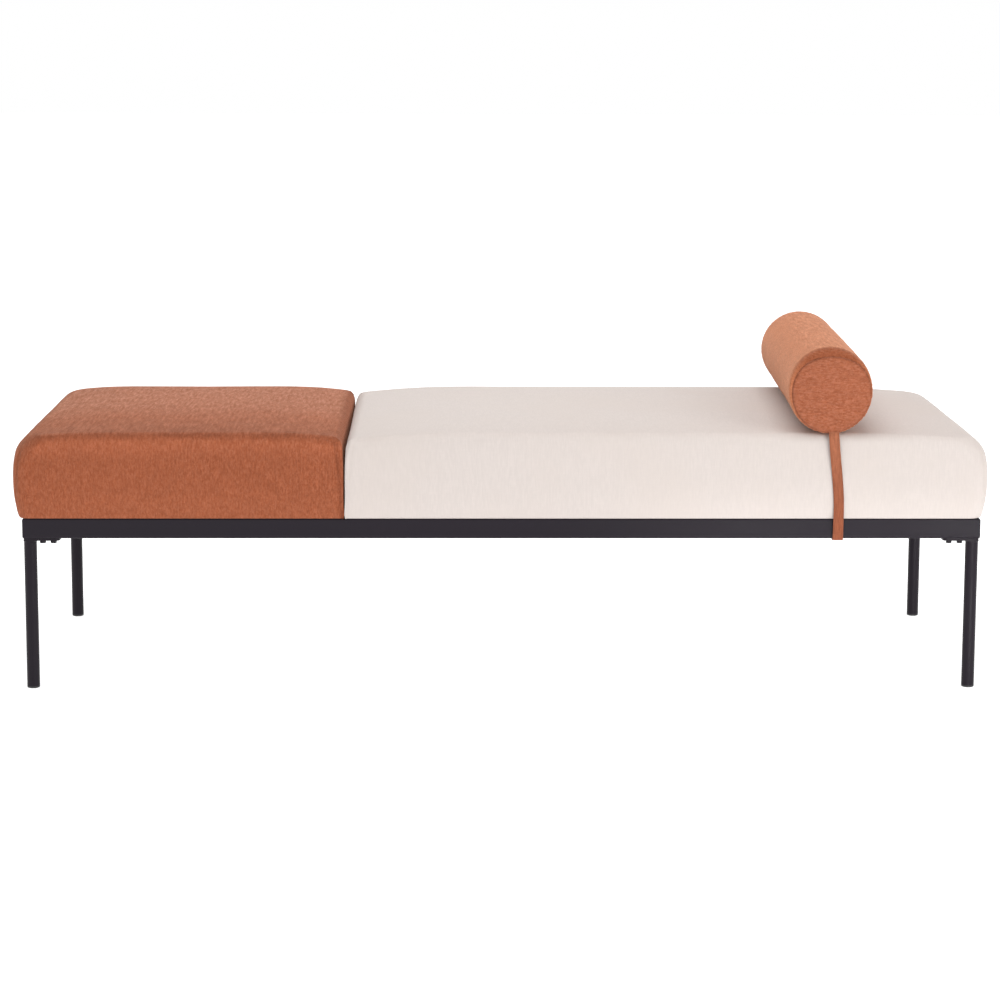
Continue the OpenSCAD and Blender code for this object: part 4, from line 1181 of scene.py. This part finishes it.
FY = -(343.0 + 0.5 + 0.8)
UZ = 288.0 - 2.6
FRONT = [(616, -336, 498.5), (616, -340.5, 491), (616.6, FY, 478), (618.6, FY - 0.6, 452), (621.4, FY - 0.6, 426), (624.4, FY - 0.2, 398), (626.8, FY + 0.6, 368),
         (627.8, FY + 5.2, 338), (628, FY + 10, 300), (628, -332.6, 290), (628, -330.6, UZ + 0.6), (628, -326, UZ), (628.4, -306, UZ), (630, -180, UZ - 1),
         (631.6, -60, UZ - 2), (632.6, 62, UZ - 2)]
REAR = [(629, 310.5, 498.5), (629.4, 322, 492), (630, 338, 483), (631, -FY, 462), (632, -FY, 431), (633.4, -FY, 396), (634.8, -FY - 0.6, 368),
        (635.6, -FY - 5.2, 338), (636, -FY - 10, 300), (636, 332.6, 290), (636, 330.6, UZ + 0.6), (636, 326, UZ), (635.8, 306, UZ - 0.2), (634.6, 180, UZ - 3.4),
        (633, 66, UZ - 5.8), (632.4, -62, UZ - 5.8)]


def make_strap(name, route, node, seed):
    path = catmull(route, 10) / 1000.0
    tan = np.gradient(path, axis=0)
    tan /= np.linalg.norm(tan, axis=1, keepdims=True)
    across = np.array([1.0, 0, 0]) - tan * tan[:, :1]
    across /= np.linalg.norm(across, axis=1, keepdims=True)
    nrm = np.cross(tan, across)
    w, t = 0.0195, 0.0016
    # section: rounded edges, two stitched channels, a slightly full middle
    sec = []
    for u in np.linspace(-1, 1, 25):
        h = 0.5 * t * (1 - 0.12 * u * u) if abs(u) < 0.93 else 0.5 * t * math.sqrt(max(0.0, 1 - ((abs(u) - 0.86) / 0.14) ** 2)) * 0.9
        h -= 0.00028 * math.exp(-((abs(u) - 0.74) / 0.05) ** 2)
        sec.append((u * w / 2, max(h, 0.00012)))
    loop = [(a, h) for a, h in sec] + [(a, -h) for a, h in reversed(sec)]
    n = len(loop)
    arc = np.concatenate([[0], np.cumsum(np.linalg.norm(np.diff(path, axis=0), axis=1))])
    line = np.column_stack([arc, arc * 0, arc * 0])
    wobble, drift = field(line, 30.0, seed), field(line, 14.0, seed + 4)
    rows = []
    for i in range(len(path)):
        wob = 1 + 0.018 * wobble[i]
        sway = 0.0004 * drift[i]
        rows.append([path[i] + across[i] * (a * wob + sway) + nrm[i] * h for a, h in loop])
    verts = np.array(rows).reshape(-1, 3)
    faces = []
    for i in range(len(path) - 1):
        for j in range(n):
            a, b = i * n + j, i * n + (j + 1) % n
            faces.append((a, a + n, b + n, b))
    faces.append(tuple(range(n)))
    faces.append(tuple((len(path) - 1) * n + j for j in range(n))[::-1])
    ob = new_mesh(name, verts, faces, M["strap"])
    # painted shade: 1 at the rounded edges, part in the stitched channels
    e = np.tile([math.exp(-((abs(a) / (w / 2) - 0.74) / 0.07) ** 2) * 0.35 + (0.45 if abs(a) > 0.46 * w else 0.0) for a, h in loop], len(path))
    add_attr(ob, "edge", e)
    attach(ob, "bolster")
    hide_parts(node)
    # topstitching in the two channels
    verts, faces = [], []
    pitch, length, rad = 0.0034, 0.0024, 0.00032
    total = arc[-1]
    s = 0.004
    while s < total - 0.004:
        for side in (-1, 1):
            pts = []
            for q in (0.0, 0.25, 0.5, 0.75, 1.0):
                ss = s + (q - 0.5) * length
                f = np.interp(ss, arc, np.arange(len(arc)))
                i = int(min(f, len(arc) - 2))
                g = f - i
                c0 = path[i] * (1 - g) + path[i + 1] * g
                # outer face of the strap, away from the seat
                out = -nrm[i] if name.endswith("front") else -nrm[i]
                lift = 0.00052 + 0.0001 * math.sin(math.pi * q)
                pts.append(c0 + across[i] * (side * 0.74 * w / 2) + out * lift * STITCH_SIDE[name])
            pts = np.array(pts)
            base = len(verts)
            for k, p in enumerate(pts):
                r = rad * (0.55 if k in (0, len(pts) - 1) else 1.0)
                i = int(min(np.interp(s, arc, np.arange(len(arc))), len(arc) - 2))
                for a in range(6):
                    th = a * math.pi / 3
                    verts.append(p + across[i] * (r * math.cos(th)) + nrm[i] * (r * math.sin(th)))
            for k in range(len(pts) - 1):
                for a in range(6):
                    x, y = base + k * 6 + a, base + k * 6 + (a + 1) % 6
                    faces.append((x, y, y + 6, x + 6))
            faces.append(tuple(base + a for a in range(6))[::-1])
            faces.append(tuple(base + (len(pts) - 1) * 6 + a for a in range(6)))
        s += pitch
    st = new_mesh(name + "_stitches", verts, faces, M["thread"])
    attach(st, "bolster")
    return ob


STITCH_SIDE = {"strap_cover_front": 1.0, "strap_cover_rear": 1.0}
make_strap("strap_cover_front", FRONT, "strap_front", 1.5)
make_strap("strap_cover_rear", REAR, "strap_rear", 7.5)


# ---------------------------------------------------------------- floor and light

def make_floor():
    v = [(-30, -30, 0), (30, -30, 0), (30, 30, 0), (-30, 30, 0)]
    ob = new_mesh("floor", v, [(0, 1, 2, 3)], smooth=False)
    m = Mat("floor_paper")
    soft = m.noise(m.mapping((1, 1, 1)), 3.0, 2.0, 0.5)
    m.color(m.mix(m.remap(soft, 0.3, 0.7), (0.64, 0.64, 0.64), (0.66, 0.66, 0.66)))
    m.set(Roughness=0.9, Specular_IOR_Level=0.1)
    m.set(Emission_Color=(1, 1, 1, 1), Emission_Strength=0.80)
    ob.data.materials.append(m.m)


def area(name, at, to, size, energy, colour=(1, 1, 1), spread=180.0):
    d = bpy.data.lights.new(name, "AREA")
    d.shape = "RECTANGLE"
    d.size, d.size_y = size
    d.energy = energy
    d.spread = math.radians(spread)
    d.color = colour
    ob = bpy.data.objects.new(name, d)
    COLL.objects.link(ob)
    ob.location = at
    ob.rotation_mode = "QUATERNION"
    ob.rotation_quaternion = (Vector(to) - Vector(at)).to_track_quat("-Z", "Y")
    return ob


def make_world():
    w = bpy.data.worlds.new("studio")
    scene.world = w
    w.use_nodes = True
    t = w.node_tree
    t.nodes.clear()
    out = t.nodes.new("ShaderNodeOutputWorld")
    bg = t.nodes.new("ShaderNodeBackground")
    tc = t.nodes.new("ShaderNodeTexCoord")
    sep = t.nodes.new("ShaderNodeSeparateXYZ")
    ramp = t.nodes.new("ShaderNodeValToRGB")
    e = ramp.color_ramp.elements
    e[0].position, e[0].color = 0.0, (1.0, 1.0, 1.0, 1)
    e[1].position, e[1].color = 1.0, (0.55, 0.55, 0.55, 1)
    mid = ramp.color_ramp.elements.new(0.35)
    mid.color = (0.75, 0.75, 0.75, 1)
    t.links.new(tc.outputs["Generated"], sep.inputs[0])
    t.links.new(sep.outputs[2], ramp.inputs[0])
    t.links.new(ramp.outputs[0], bg.inputs[0])
    bg.inputs[1].default_value = 1.0
    t.links.new(bg.outputs[0], out.inputs[0])


make_floor()
make_world()
area("key", (2.9, -3.2, 2.2), (0.2, 0.0, 0.4), (2.0, 1.5), 45.5)
area("fill", (-2.6, -4.2, 1.3), (-0.1, 0.0, 0.4), (2.4, 1.6), 7.5)
area("top", (0.0, 0.1, 3.2), (0.0, 0.0, 0.4), (2.6, 1.8), 52)
area("low_side", (1.55, -2.6, 0.34), (0.86, -0.33, 0.38), (1.3, 0.40), 9)
area("low_strip", (0.96, -2.6, 0.06), (0.66, -0.33, 0.15), (0.7, 0.05), 0.23, spread=13.0)
